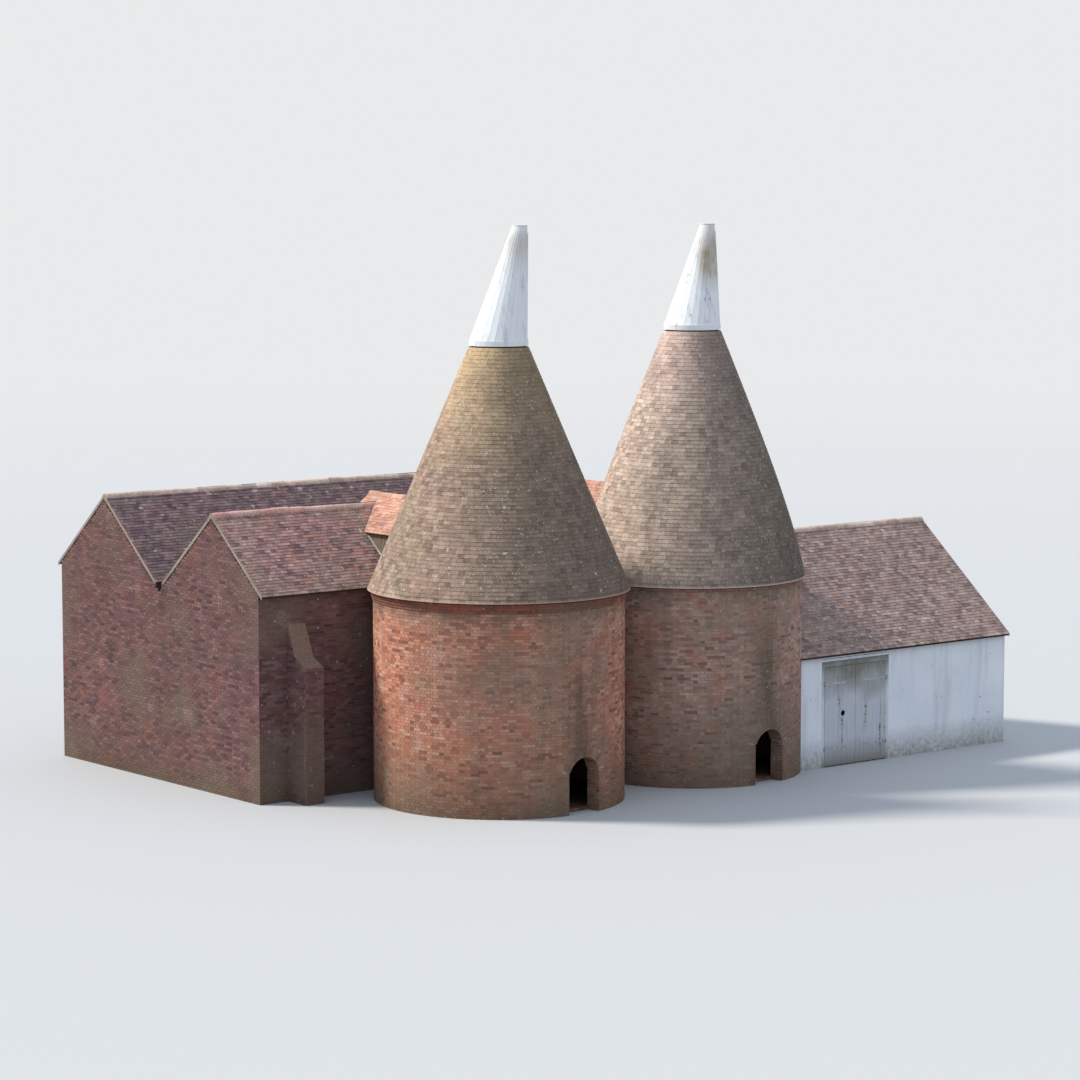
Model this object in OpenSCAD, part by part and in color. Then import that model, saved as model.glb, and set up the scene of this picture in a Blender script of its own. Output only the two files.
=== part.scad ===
// Oast house: two round brick kilns with tiled cones and turning cowls, a
// stowage of two parallel ranges behind them, and a lower range on the right.
// Millimetres, +Z up, the front faces -Y, origin on the ground below the middle.
// Inside the file the plan starts from the centre of the front kiln.

/* [Front kiln] */
// Outer radius of the front kiln's brick wall
kiln_1_r = 3020; // [2940:10:3060]
// Height of the lower edge of the front kiln's tiles
kiln_1_eaves_z = 5060; // [4900:10:5150]
// Height of the top of the front kiln's cone
kiln_1_cone_z = 10870; // [10600:10:11400]
// Height of the front kiln's cowl
cowl_1_h = 2860; // [2400:10:3000]
// Way that the open side of the front cowl faces, from the right
cowl_1_turn = -25; // [-180:1:180]

/* [Rear kiln] */
// Distance between the two kilns' centres
kiln_spacing = 6130; // [6080:10:6400]
// Outer radius of the rear kiln's brick wall
kiln_2_r = 2780; // [2700:10:2820]
// Height of the lower edge of the rear kiln's tiles
kiln_2_eaves_z = 4920; // [4700:10:5050]
// Height of the top of the rear kiln's cone
kiln_2_cone_z = 11070; // [10700:10:11400]
// Height of the rear kiln's cowl
cowl_2_h = 2620; // [2300:10:2900]
// Way that the open side of the rear cowl faces, from the right
cowl_2_turn = 4; // [-180:1:180]

/* [Both kilns] */
// Thickness of the round walls, one and a half bricks
kiln_wall = 345; // [300:5:400]
// Thickness of the cones across, tiles, battens and rafters
cone_t = 165; // [120:5:200]
// Outer radius of the cones at the top
cone_top_r = 700; // [670:5:760]
// Width of the draught arches
arch_w = 970; // [700:10:1100]
// Height of the draught arches
arch_h = 1350; // [1100:10:1600]

/* [Stowage] */
// Left end of the stowage, from the front kiln's centre
stowage_left_x = -5160; // [-5600:10:-4800]
// Right end of the stowage, from the front kiln's centre
stowage_right_x = 8090; // [8050:10:8500]
// Outer face of the front wall, from the kilns' centre line
stowage_front_y = 2660; // [2600:10:2700]
// Ridge of the front roof, from the kilns' centre line
front_ridge_y = 4630; // [4600:10:4800]
// Height of the front roof's ridge
front_ridge_z = 6810; // [6700:10:7000]
// Ridge of the back roof, from the kilns' centre line
back_ridge_y = 9500; // [9300:10:9700]
// Height of the back roof's ridge
back_ridge_z = 6920; // [6800:10:7050]
// Thickness of the stowage's brick walls
stowage_wall = 345; // [225:5:450]
// Slope of every straight roof, in degrees
pitch = 40; // [38:1:42]

/* [Saddles] */
// Half the width of the saddle roofs between cone and stowage
saddle_half_w = 1160; // [1000:10:1300]
// Height of the saddle roofs' ridges
saddle_ridge_z = 7010; // [6950:10:7200]

/* [Right range] */
// Right end of the lower range, from the front kiln's centre
range_right_x = 15390; // [13500:10:17000]
// Outer face of the range's front wall, from the kilns' centre line
range_front_y = -2000; // [-2100:10:-1900]
// Height of the range's front eaves
range_eaves_z = 2900; // [2800:10:3000]
// Ridge of the lower range, from the kilns' centre line
range_ridge_y = 1170; // [1050:10:1400]
// Thickness of the range's walls
range_wall = 225; // [215:5:250]
// Left side of the doorway, from the front kiln's centre
door_left_x = 8880; // [8800:10:9100]
// Width of the doorway
door_w = 2150; // [1800:10:2300]
// Height of the doorway
door_h = 2560; // [2300:10:2560]

/* [Hidden] */

$fn = 96;
round_fn = 288;

// Colours
brick = "#9c5f47";
old_tile = "#7a6455";
new_tile = "#c07050";
white_paint = "#e8e8e4";
limewash = "#d4d6da";
oak = "#7d6a55";
lead_grey = "#7f8488";
iron = "#3a3836";

// Kilns, as lists with the front kiln first
kiln_x = [0, kiln_spacing];
kiln_r = [kiln_1_r, kiln_2_r];
eaves_z = [kiln_1_eaves_z, kiln_2_eaves_z];
cone_z = [kiln_1_cone_z, kiln_2_cone_z];
eaves_out = [115, 50];
corbel_courses = [3, 1];
course_h = 75;
corbel_step = 20;
tile_edge = 50;
plate_in = 200;
arch_a = -86;
arch_rise = 330;
springer_w = 25;
wall_sectors = 17;
roof_sectors = 24;
gap = 2;
seam = 0.5;
seam_turn = 0.02;

// The rear cone swells a little outside, over straight rafters
swell_out = [0, 145];
swell_skew = 0.7;
profile_steps = 8;

// Cowls
cowl_gap = 40;
cowl_base_r = [700, 700];
cowl_top_r = 180;
cowl_board = 40;
ring_h = 125;
ring_t = 75;
ring_lip = 10;
arm_h = 80;
post_r = 55;
post_share = 0.52;
post_below_beam = 100;
mouth_low = 0.06;
mouth_high = 0.93;
mouth_low_w = 0.50;
mouth_high_w = 0.52;
mouth_back = 0.58;
curb_r = 640;
curb_w = 130;
curb_h = 34;
beam_w = 200;
beam_h = 160;
pin_play = 2;
cowl_facets = 20;

// Straight roofs
slope = tan(pitch);
roof_t = 170 / cos(pitch);
wall_below_roof = roof_t + seam;
eaves_edge = 60;
eaves_over = 160;
ridge_r = 120;
ridge_foot_a = 8;
gutter_half_w = 150;
lead_t = 20;
beam_depth = 300;

// Heights of the top faces of the straight roofs at a place y
function front_roof_z(y) = front_ridge_z - slope * abs(y - front_ridge_y);
function back_roof_z(y) = back_ridge_z - slope * abs(y - back_ridge_y);
function range_roof_z(y) = range_ridge_z - slope * abs(y - range_ridge_y);

valley_y = (back_ridge_y + front_ridge_y) / 2
    - (back_ridge_z - front_ridge_z) / (2 * slope);
valley_z = front_roof_z(valley_y);
stowage_back_y = back_ridge_y + (front_ridge_y - stowage_front_y)
    + (back_ridge_z - front_ridge_z) / slope;
range_eaves_y = range_front_y - eaves_over;
range_ridge_z = range_eaves_z + slope * (range_ridge_y - range_eaves_y);
range_back_y = 2 * range_ridge_y - range_front_y;

// Saddles
saddle_over_ridge = 550;
saddle_back_y = front_ridge_y + saddle_over_ridge;
saddle_front_y = 1200;
saddle_t = 130;
saddle_slope = 0.71;
saddle_eaves_z = saddle_ridge_z - saddle_slope * saddle_half_w;
saddle_meet_x = (saddle_ridge_z - front_ridge_z + ridge_r * slope) / saddle_slope + seam;
cheek_t = 110;

// Doors
post_w = 100;
head_h = 130;
leaf_t = 50;
leaf_play = 8;
leaf_floor = 30;
leaf_proud = 6;
pintle_drop = 5;
strap_h = 60;
strap_t = 8;
strap_share = 0.75;
hinge_z = [450, 2100];
pintle_r = 9;
eye_r = 16;
eye_h = 60;
hinge_y = range_front_y - leaf_proud - eye_r;
spy_hole_share = 0.3;
spy_hole_r = 75;
spy_hole_z = 1340;
floor_h = 80;

// Middle of the building's box on plan, which is the origin
middle_x = (stowage_left_x + range_right_x) / 2;
middle_y = (stowage_back_y + eaves_over - kiln_r[0] - eaves_out[0]) / 2;

// Puts what is drawn from the front kiln's centre about the origin
module on_site() {
    translate([-middle_x, -middle_y, 0]) children();
}

// Outline in the Y-Z plane, carried along X from x0 to x1
module along_x(x0, x1) {
    translate([x0, 0, 0])
        rotate([90, 0, 90])
            linear_extrude(x1 - x0) children();
}

// Outline in the X-Z plane, carried along Y from y0 to y1
module along_y(y0, y1) {
    translate([0, y1, 0])
        rotate([90, 0, 0])
            linear_extrude(y1 - y0) children();
}

// Part of a ring about the Z axis between two angles
module sector(r_in, r_out, z0, z1, a0, a1) {
    rotate([0, 0, a0])
        rotate_extrude(angle = a1 - a0, $fn = round_fn)
            translate([r_in, z0]) square([r_out - r_in, z1 - z0]);
}

// Outer outline of a cone from the eaves to the top
function cone_outline(k) = let (
        r0 = kiln_r[k] + eaves_out[k],
        z0 = eaves_z[k] + tile_edge,
        h = cone_z[k] - z0
    )
    [
        [r0, z0],
        if (swell_out[k] > 0)
            for (i = [1 : profile_steps - 1])
                let (s = i / profile_steps)
                [r0 + (cone_top_r - r0) * s + swell_out[k] * swell(s), z0 + h * s],
        [cone_top_r, cone_z[k]]
    ];

// Swelling of a cone, from nothing at the eaves and at the top
function swell(s) = sin(180 * pow(s, swell_skew));

// All the room that a kiln takes up, wall, corbels and cone
module kiln_envelope(k) {
    r = kiln_r[k] + gap;
    corbel_z = eaves_z[k] - corbel_courses[k] * course_h - gap;
    corbel_r = r + corbel_courses[k] * corbel_step;
    translate([kiln_x[k], 0, 0])
        rotate_extrude($fn = round_fn)
            polygon(concat(
                [[0, -gap], [r, -gap], [r, corbel_z], [corbel_r, corbel_z]],
                [[corbel_r, eaves_z[k]], [r + eaves_out[k], eaves_z[k]]],
                [for (p = cone_outline(k)) [p[0] + gap, p[1]]],
                [[0, cone_z[k]]]
            ));
}

// Angles that the draught arch and each wall sector take up
function arch_half_a(k) = asin(arch_w / 2 / kiln_r[k]);
function sector_a(k) = (360 - 2 * arch_half_a(k)) / wall_sectors;

// Every second sector of a round wall, from the first or the second on
module kiln_wall_part(k, first) {
    color(brick) on_site() translate([kiln_x[k], 0, 0])
        for (i = [first : 2 : wall_sectors - 1]) {
            a = arch_a + arch_half_a(k) + i * sector_a(k);
            sector(kiln_r[k] - kiln_wall, kiln_r[k], 0, eaves_z[k], a, a + sector_a(k) - seam_turn);
        }
}

// Brickwork over each draught arch, with its segmental head between two short springers
module draught_arches() {
    span = arch_w - 2 * springer_w;
    rise_r = (span * span / 4 + arch_rise * arch_rise) / (2 * arch_rise);
    color(brick) on_site()
        for (k = [0, 1])
            translate([kiln_x[k], 0, 0])
                difference() {
                    sector(kiln_r[k] - kiln_wall, kiln_r[k], arch_h - arch_rise, eaves_z[k],
                        arch_a - arch_half_a(k), arch_a + arch_half_a(k) - seam_turn);
                    rotate([0, 0, arch_a])
                        translate([kiln_r[k] - 2 * kiln_wall, 0, arch_h - rise_r])
                            rotate([0, 90, 0])
                                cylinder(r = rise_r, h = 3 * kiln_wall);
                }
}

// Every second sector of a conical shell of rafters, battens and tiles, open at the top
module kiln_roof_part(k, first) {
    r0 = kiln_r[k] + eaves_out[k];
    foot_r = kiln_r[k] - plate_in;
    foot_z = eaves_z[k] + tile_edge
        + (r0 - cone_t - foot_r) * (cone_z[k] - eaves_z[k] - tile_edge) / (r0 - cone_top_r);
    sector_turn = 360 / roof_sectors;
    color(old_tile) on_site() translate([kiln_x[k], 0, 0])
        for (i = [first : 2 : roof_sectors - 1])
            rotate([0, 0, i * sector_turn])
                rotate_extrude(angle = sector_turn - seam_turn, $fn = round_fn)
                    polygon(concat(
                        [[foot_r, eaves_z[k] + seam], [r0, eaves_z[k] + seam]],
                        cone_outline(k),
                        [[cone_top_r - cone_t, cone_z[k]], [foot_r, foot_z]]
                    ));
}

module kiln_1_wall_odd() { kiln_wall_part(0, 0); }
module kiln_1_wall_even() { kiln_wall_part(0, 1); }
module kiln_1_roof_odd() { kiln_roof_part(0, 0); }
module kiln_1_roof_even() { kiln_roof_part(0, 1); }
module kiln_2_wall_odd() { kiln_wall_part(1, 0); }
module kiln_2_wall_even() { kiln_wall_part(1, 1); }
module kiln_2_roof_odd() { kiln_roof_part(1, 0); }
module kiln_2_roof_even() { kiln_roof_part(1, 1); }

// Brick courses that step out below the tiles
module corbel_bands() {
    color(brick) on_site()
        for (k = [0, 1])
            translate([kiln_x[k], 0, 0])
                rotate_extrude($fn = round_fn)
                    for (i = [1 : corbel_courses[k]])
                        translate([kiln_r[k] + seam, eaves_z[k] - (corbel_courses[k] - i + 1) * course_h])
                            square([i * corbel_step, course_h]);
}

// Timber ring on each cone that the cowl turns over
module cone_curbs() {
    color(oak) on_site()
        for (k = [0, 1])
            translate([kiln_x[k], 0, cone_z[k] + seam])
                difference() {
                    cylinder(r = curb_r, h = curb_h);
                    translate([0, 0, -1]) cylinder(r = curb_r - curb_w, h = curb_h + 2);
                }
}

// Oak beams across each curb, bored for the cowl's post
module cowl_beams() {
    reach = cone_top_r - cone_t - gap;
    color(oak) on_site()
        for (k = [0, 1])
            translate([kiln_x[k], 0, cone_z[k] - beam_h])
                difference() {
                    intersection() {
                        translate([-reach, -beam_w / 2, 0]) cube([2 * reach, beam_w, beam_h]);
                        cylinder(r = reach, h = beam_h);
                    }
                    translate([0, 0, -1]) cylinder(r = post_r + pin_play, h = beam_h + 2);
                }
}

// Height at which a cowl's ring begins
function cowl_z(k) = cone_z[k] + cowl_gap;

// Places a cowl on its vertical axis and turns its open side
module on_cowl(k) {
    on_site() translate([kiln_x[k], 0, cowl_z(k)])
        rotate([0, 0, k == 0 ? cowl_1_turn : cowl_2_turn]) children();
}

// Leaning boarded cone, upright on its open side, flat at the top
module cowl_hull(k, h, inset) {
    lean = cowl_base_r[k] - cowl_top_r;
    hull() {
        cylinder(r = cowl_base_r[k] - inset, h = 1, $fn = cowl_facets);
        translate([lean * (h - inset) / h, 0, h - inset - 1])
            cylinder(r = cowl_top_r - inset, h = 1, $fn = cowl_facets);
    }
}

// Opening in the upright side of a cowl, narrow at the top
module cowl_mouth(k, h) {
    z0 = mouth_low * h;
    z1 = mouth_high * h;
    low_w = mouth_low_w * cowl_base_r[k];
    high_w = mouth_high_w * cowl_top_r;
    translate([mouth_back * cowl_base_r[k], 0, 0])
        rotate([90, 0, 90])
            linear_extrude(cowl_base_r[k])
                polygon([[-low_w, z0], [low_w, z0], [high_w, z1], [-high_w, z1]]);
}

module cowl_boards(k, h) {
    color(white_paint) on_cowl(k)
        difference() {
            translate([0, 0, ring_h]) cowl_hull(k, h - ring_h, 0);
            translate([0, 0, ring_h - 1]) cowl_hull(k, h - ring_h, cowl_board);
            cowl_mouth(k, h);
        }
}

// Ring that the boards stand on, with the arms that carry it on the post
module cowl_ring(k) {
    color(white_paint) on_cowl(k)
        difference() {
            union() {
                difference() {
                    cylinder(r = cowl_base_r[k] + ring_lip, h = ring_h);
                    translate([0, 0, -1]) cylinder(r = cowl_base_r[k] - ring_t, h = ring_h + 2);
                }
                for (a = [45, 135])
                    rotate([0, 0, a])
                        translate([-cowl_base_r[k] + ring_t / 2, -ring_t / 2, ring_h - arm_h])
                            cube([2 * cowl_base_r[k] - ring_t, ring_t, arm_h]);
            }
            translate([0, 0, -1]) cylinder(r = post_r + gap / 4, h = ring_h + 2);
        }
}

// Post that turns in the bored beam and carries the cowl
module cowl_post(k, h) {
    foot = cowl_gap + beam_h + post_below_beam;
    color(oak) on_cowl(k)
        translate([0, 0, -foot]) cylinder(r = post_r, h = foot + post_share * h);
}

module cowl_1_boards() { cowl_boards(0, cowl_1_h); }
module cowl_1_ring() { cowl_ring(0); }
module cowl_1_post() { cowl_post(0, cowl_1_h); }
module cowl_2_boards() { cowl_boards(1, cowl_2_h); }
module cowl_2_ring() { cowl_ring(1); }
module cowl_2_post() { cowl_post(1, cowl_2_h); }

// Front wall of the stowage, let in between the round kilns
module stowage_front_wall() {
    inner_y = stowage_front_y + stowage_wall;
    color(brick) on_site()
        difference() {
            along_x(stowage_left_x + stowage_wall, stowage_right_x - stowage_wall)
                polygon([
                    [stowage_front_y, 0],
                    [inner_y, 0],
                    [inner_y, front_roof_z(inner_y) - wall_below_roof],
                    [stowage_front_y, front_roof_z(stowage_front_y) - wall_below_roof]
                ]);
            kiln_envelope(0);
            kiln_envelope(1);
        }
}

// Brick buttress with a sloping head, against the front wall
module buttress() {
    buttress_x = -4080;
    buttress_w = 520;
    buttress_out = 750;
    low_z = 3300;
    high_z = 4300;
    knee_z = 3500;
    knee_out = 340;
    color(brick) on_site()
        along_x(buttress_x - buttress_w / 2, buttress_x + buttress_w / 2)
            polygon([
                [stowage_front_y - buttress_out, 0],
                [stowage_front_y, 0],
                [stowage_front_y, high_z],
                [stowage_front_y - knee_out, knee_z],
                [stowage_front_y - buttress_out, low_z]
            ]);
}

// Outline of a wall across both ranges, up to the under side of the roofs
module stowage_gable_outline() {
    polygon([
        [stowage_front_y, 0],
        [stowage_back_y, 0],
        [stowage_back_y, back_roof_z(stowage_back_y) - wall_below_roof],
        [back_ridge_y, back_ridge_z - wall_below_roof],
        [valley_y + gutter_half_w, back_roof_z(valley_y + gutter_half_w) - wall_below_roof],
        [valley_y + gutter_half_w, valley_z - wall_below_roof],
        [valley_y - gutter_half_w, valley_z - wall_below_roof],
        [valley_y - gutter_half_w, front_roof_z(valley_y - gutter_half_w) - wall_below_roof],
        [front_ridge_y, front_ridge_z - wall_below_roof],
        [stowage_front_y, front_roof_z(stowage_front_y) - wall_below_roof]
    ]);
}

module left_party_wall() {
    color(brick) on_site()
        along_x(stowage_left_x, stowage_left_x + stowage_wall) stowage_gable_outline();
}

module stowage_right_wall() {
    color(brick) on_site()
        along_x(stowage_right_x - stowage_wall, stowage_right_x) stowage_gable_outline();
}

module stowage_back_wall() {
    inner_y = stowage_back_y - stowage_wall;
    color(brick) on_site()
        along_x(stowage_left_x + stowage_wall, stowage_right_x - stowage_wall)
            polygon([
                [inner_y, 0],
                [stowage_back_y, 0],
                [stowage_back_y, back_roof_z(stowage_back_y) - wall_below_roof],
                [inner_y, back_roof_z(inner_y) - wall_below_roof]
            ]);
}

// Outline of one roof slope from its eaves at y0, past the wall's face, to the ridge
module eaves_slope_outline(y0, wall_y, ridge_y, ridge_z) {
    z0 = ridge_z - slope * abs(ridge_y - y0);
    wall_z = ridge_z - slope * abs(ridge_y - wall_y);
    polygon([
        [y0, z0],
        [ridge_y, ridge_z],
        [ridge_y, ridge_z - roof_t],
        [wall_y, wall_z - roof_t],
        [wall_y, wall_z - eaves_edge],
        [y0, z0 - eaves_edge]
    ]);
}

// Outline of one roof slope from the valley to the ridge
module valley_slope_outline(y0, ridge_y, ridge_z) {
    z0 = ridge_z - slope * abs(ridge_y - y0);
    polygon([[y0, z0], [ridge_y, ridge_z], [ridge_y, ridge_z - roof_t], [y0, z0 - roof_t]]);
}

module front_roof_front_slope() {
    color(old_tile) on_site()
        difference() {
            along_x(stowage_left_x, stowage_right_x)
                eaves_slope_outline(stowage_front_y - eaves_over, stowage_front_y,
                    front_ridge_y, front_ridge_z);
            kiln_envelope(0);
            kiln_envelope(1);
        }
}

module front_roof_back_slope() {
    color(old_tile) on_site()
        along_x(stowage_left_x, stowage_right_x)
            valley_slope_outline(valley_y - gutter_half_w, front_ridge_y, front_ridge_z);
}

module back_roof_front_slope() {
    color(old_tile) on_site()
        along_x(stowage_left_x, stowage_right_x)
            valley_slope_outline(valley_y + gutter_half_w, back_ridge_y, back_ridge_z);
}

module back_roof_back_slope() {
    color(old_tile) on_site()
        along_x(stowage_left_x, stowage_right_x)
            eaves_slope_outline(stowage_back_y + eaves_over, stowage_back_y,
                back_ridge_y, back_ridge_z);
}

// Bed of the lead gutter between the two roofs
module valley_gutter() {
    color(lead_grey) on_site()
        translate([stowage_left_x, valley_y - gutter_half_w, valley_z - roof_t])
            cube([stowage_right_x - stowage_left_x, 2 * gutter_half_w, lead_t]);
}

// Oak beam under the gutter, from end wall to end wall
module valley_beam() {
    color(oak) on_site()
        translate([
            stowage_left_x + stowage_wall,
            valley_y - gutter_half_w,
            valley_z - wall_below_roof - beam_depth
        ])
            cube([stowage_right_x - stowage_left_x - 2 * stowage_wall, 2 * gutter_half_w, beam_depth]);
}

// Half-round clay ridge, bedded in mortar on two slopes
module ridge_tile_run(x0, x1, ridge_y, ridge_z) {
    foot_y = ridge_r * cos(ridge_foot_a);
    translate([x0, ridge_y, ridge_z + seam - foot_y * slope])
        rotate([90, 0, 90])
            linear_extrude(x1 - x0)
                difference() {
                    circle(r = ridge_r);
                    polygon([
                        [-2 * ridge_r, -2 * ridge_r],
                        [-2 * ridge_r, (foot_y - 2 * ridge_r) * slope],
                        [0, foot_y * slope],
                        [2 * ridge_r, (foot_y - 2 * ridge_r) * slope],
                        [2 * ridge_r, -2 * ridge_r]
                    ]);
                }
}

module ridge_tiles() {
    color(new_tile) on_site() {
        ridge_tile_run(stowage_left_x, kiln_x[0] - saddle_meet_x, front_ridge_y, front_ridge_z);
        ridge_tile_run(kiln_x[0] + saddle_meet_x, kiln_x[1] - saddle_meet_x, front_ridge_y, front_ridge_z);
        ridge_tile_run(kiln_x[1] + saddle_meet_x, stowage_right_x, front_ridge_y, front_ridge_z);
        ridge_tile_run(stowage_left_x, stowage_right_x, back_ridge_y, back_ridge_z);
        difference() {
            ridge_tile_run(stowage_right_x, range_right_x, range_ridge_y, range_ridge_z);
            kiln_envelope(1);
        }
    }
}

// Room below the front roof's top faces
module under_front_roof() {
    low_y = stowage_front_y - eaves_over;
    along_x(stowage_left_x - 1, stowage_right_x + 1)
        polygon([
            [0, 0],
            [0, front_roof_z(low_y) + seam],
            [low_y, front_roof_z(low_y) + seam],
            [front_ridge_y, front_ridge_z + seam],
            [valley_y, valley_z + seam],
            [valley_y, 0]
        ]);
}

// Small tiled roof from each cone back over the stowage's ridge
module saddle_roofs() {
    color(new_tile) on_site()
        for (k = [0, 1])
            difference() {
                translate([kiln_x[k], 0, 0])
                    along_y(saddle_front_y, saddle_back_y)
                        polygon([
                            [-saddle_half_w, saddle_eaves_z],
                            [0, saddle_ridge_z],
                            [saddle_half_w, saddle_eaves_z],
                            [saddle_half_w, saddle_eaves_z - eaves_edge],
                            [saddle_half_w - eaves_edge, saddle_eaves_z - eaves_edge],
                            [0, saddle_ridge_z - saddle_t],
                            [-saddle_half_w + eaves_edge, saddle_eaves_z - eaves_edge],
                            [-saddle_half_w, saddle_eaves_z - eaves_edge]
                        ]);
                under_front_roof();
                kiln_envelope(k);
            }
}

// Boarded cheeks and back gablet below each saddle roof
module saddle_cheeks() {
    side_x = saddle_half_w - eaves_edge;
    color(oak) on_site()
        for (k = [0, 1])
            difference() {
                translate([kiln_x[k], 0, 0])
                    along_y(saddle_front_y, saddle_back_y)
                        polygon([
                            [-side_x, 0],
                            [-side_x, saddle_eaves_z - eaves_edge - seam],
                            [0, saddle_ridge_z - saddle_t - seam],
                            [side_x, saddle_eaves_z - eaves_edge - seam],
                            [side_x, 0]
                        ]);
                translate([kiln_x[k] - side_x + cheek_t, 0, 0])
                    cube([2 * (side_x - cheek_t), saddle_back_y - cheek_t, saddle_ridge_z]);
                under_front_roof();
                kiln_envelope(k);
            }
}

// Front wall of the range, left and right of the doorway
module range_front_wall() {
    inner_y = range_front_y + range_wall;
    color(limewash) on_site()
        difference() {
            along_x(kiln_x[1], range_right_x - range_wall)
                polygon([
                    [range_front_y, 0],
                    [inner_y, 0],
                    [inner_y, range_roof_z(inner_y) - wall_below_roof],
                    [range_front_y, range_roof_z(range_front_y) - wall_below_roof]
                ]);
            translate([door_left_x - post_w, range_front_y - 1, -1])
                cube([door_w + 2 * post_w, range_wall + 2, range_eaves_z]);
            kiln_envelope(1);
        }
}

// Short wall that closes the corner between the rear kiln and the stowage
module range_left_wall() {
    color(limewash) on_site()
        difference() {
            translate([stowage_right_x - range_wall, kiln_x[0], 0])
                cube([range_wall, stowage_front_y, range_roof_z(kiln_r[1] - kiln_wall) - wall_below_roof]);
            kiln_envelope(1);
        }
}

module range_back_wall() {
    inner_y = range_back_y - range_wall;
    color(limewash) on_site()
        along_x(stowage_right_x, range_right_x - range_wall)
            polygon([
                [inner_y, 0],
                [range_back_y, 0],
                [range_back_y, range_roof_z(range_back_y) - wall_below_roof],
                [inner_y, range_roof_z(inner_y) - wall_below_roof]
            ]);
}

module range_party_wall() {
    color(limewash) on_site()
        along_x(range_right_x - range_wall, range_right_x)
            polygon([
                [range_front_y, 0],
                [range_back_y, 0],
                [range_back_y, range_roof_z(range_back_y) - wall_below_roof],
                [range_ridge_y, range_ridge_z - wall_below_roof],
                [range_front_y, range_roof_z(range_front_y) - wall_below_roof]
            ]);
}

module range_front_slope() {
    color(old_tile) on_site()
        difference() {
            along_x(kiln_x[1], range_right_x)
                eaves_slope_outline(range_eaves_y, range_front_y, range_ridge_y, range_ridge_z);
            kiln_envelope(1);
            translate([kiln_x[1], 0, 0]) cube([gap, range_ridge_y, range_ridge_z]);
        }
}

module range_back_slope() {
    color(old_tile) on_site()
        difference() {
            along_x(stowage_right_x, range_right_x)
                eaves_slope_outline(2 * range_ridge_y - range_eaves_y, range_back_y,
                    range_ridge_y, range_ridge_z);
            kiln_envelope(1);
        }
}

// Brick floors that show through the draught arches and the doorway
module brick_floors() {
    color(brick) on_site() {
        for (k = [0, 1])
            translate([kiln_x[k], 0, 0])
                cylinder(r = kiln_r[k] - kiln_wall - gap, h = floor_h, $fn = round_fn);
        difference() {
            translate([stowage_right_x, range_front_y + range_wall, 0])
                cube([
                    range_right_x - range_wall - stowage_right_x,
                    range_back_y - range_front_y - 2 * range_wall,
                    floor_h
                ]);
            kiln_envelope(1);
        }
    }
}

// Posts and head round the doorway
module door_frame() {
    color(white_paint) on_site()
        translate([door_left_x - post_w, range_front_y, 0])
            difference() {
                cube([door_w + 2 * post_w, range_wall, door_h + head_h]);
                translate([post_w, -1, -1]) cube([door_w, range_wall + 2, door_h + 1]);
            }
}

// Iron pins on the posts that the straps hang on
module door_pintles() {
    arm = 20;
    color(iron) on_site()
        for (side = [0, 1], z = hinge_z)
            translate([hinge_x(side), hinge_y, z - pintle_drop - arm])
                union() {
                    cylinder(r = pintle_r, h = eye_h + pintle_drop + 2 * arm);
                    translate([-pintle_r, 0, 0]) cube([2 * pintle_r, range_front_y - hinge_y, arm]);
                }
}

// Place across the front of each leaf's axis
function hinge_x(side) = door_left_x + side * door_w + (side == 0 ? -1 : 1) * pintle_r;

// One boarded leaf, drawn for the left side of the doorway
module door_leaf() {
    leaf_w = door_w / 2 - leaf_play - leaf_play / 2;
    translate([leaf_play, -leaf_proud, leaf_floor])
        cube([leaf_w, leaf_t, door_h - leaf_floor - leaf_play]);
}

module door_left() {
    color(limewash) on_site()
        difference() {
            translate([door_left_x, range_front_y, 0]) door_leaf();
            translate([door_left_x + spy_hole_share * door_w, range_front_y - 2 * leaf_proud, spy_hole_z])
                rotate([-90, 0, 0]) cylinder(r = spy_hole_r, h = 2 * leaf_t);
        }
}

module door_right() {
    color(limewash) on_site()
        translate([door_left_x + door_w, range_front_y, 0])
            mirror([1, 0, 0]) door_leaf();
}

// Iron straps with their eyes, drawn for the left leaf about its axis
module leaf_straps() {
    strap_l = strap_share * door_w / 2;
    for (z = hinge_z)
        difference() {
            union() {
                translate([0, eye_r - strap_t, z]) cube([strap_l, strap_t, strap_h]);
                translate([0, 0, z]) cylinder(r = eye_r, h = strap_h);
            }
            translate([0, 0, z - 1]) cylinder(r = pintle_r + 1, h = strap_h + 2);
        }
}

module door_left_straps() {
    color(iron) on_site() translate([hinge_x(0), hinge_y, 0]) leaf_straps();
}

module door_right_straps() {
    color(iron) on_site() translate([hinge_x(1), hinge_y, 0]) mirror([1, 0, 0]) leaf_straps();
}

kiln_1_wall_odd();
kiln_1_wall_even();
kiln_1_roof_odd();
kiln_1_roof_even();
kiln_2_wall_odd();
kiln_2_wall_even();
kiln_2_roof_odd();
kiln_2_roof_even();
draught_arches();
corbel_bands();
cone_curbs();
cowl_beams();
cowl_1_boards();
cowl_1_ring();
cowl_1_post();
cowl_2_boards();
cowl_2_ring();
cowl_2_post();
stowage_front_wall();
buttress();
left_party_wall();
stowage_right_wall();
stowage_back_wall();
front_roof_front_slope();
front_roof_back_slope();
back_roof_front_slope();
back_roof_back_slope();
valley_gutter();
valley_beam();
ridge_tiles();
saddle_roofs();
saddle_cheeks();
range_front_wall();
range_left_wall();
range_back_wall();
range_party_wall();
range_front_slope();
range_back_slope();
brick_floors();
door_frame();
door_pintles();
door_left();
door_left_straps();
door_right();
door_right_straps();
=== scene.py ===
import math

import bmesh
import bpy
from mathutils import Matrix, Vector


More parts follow.
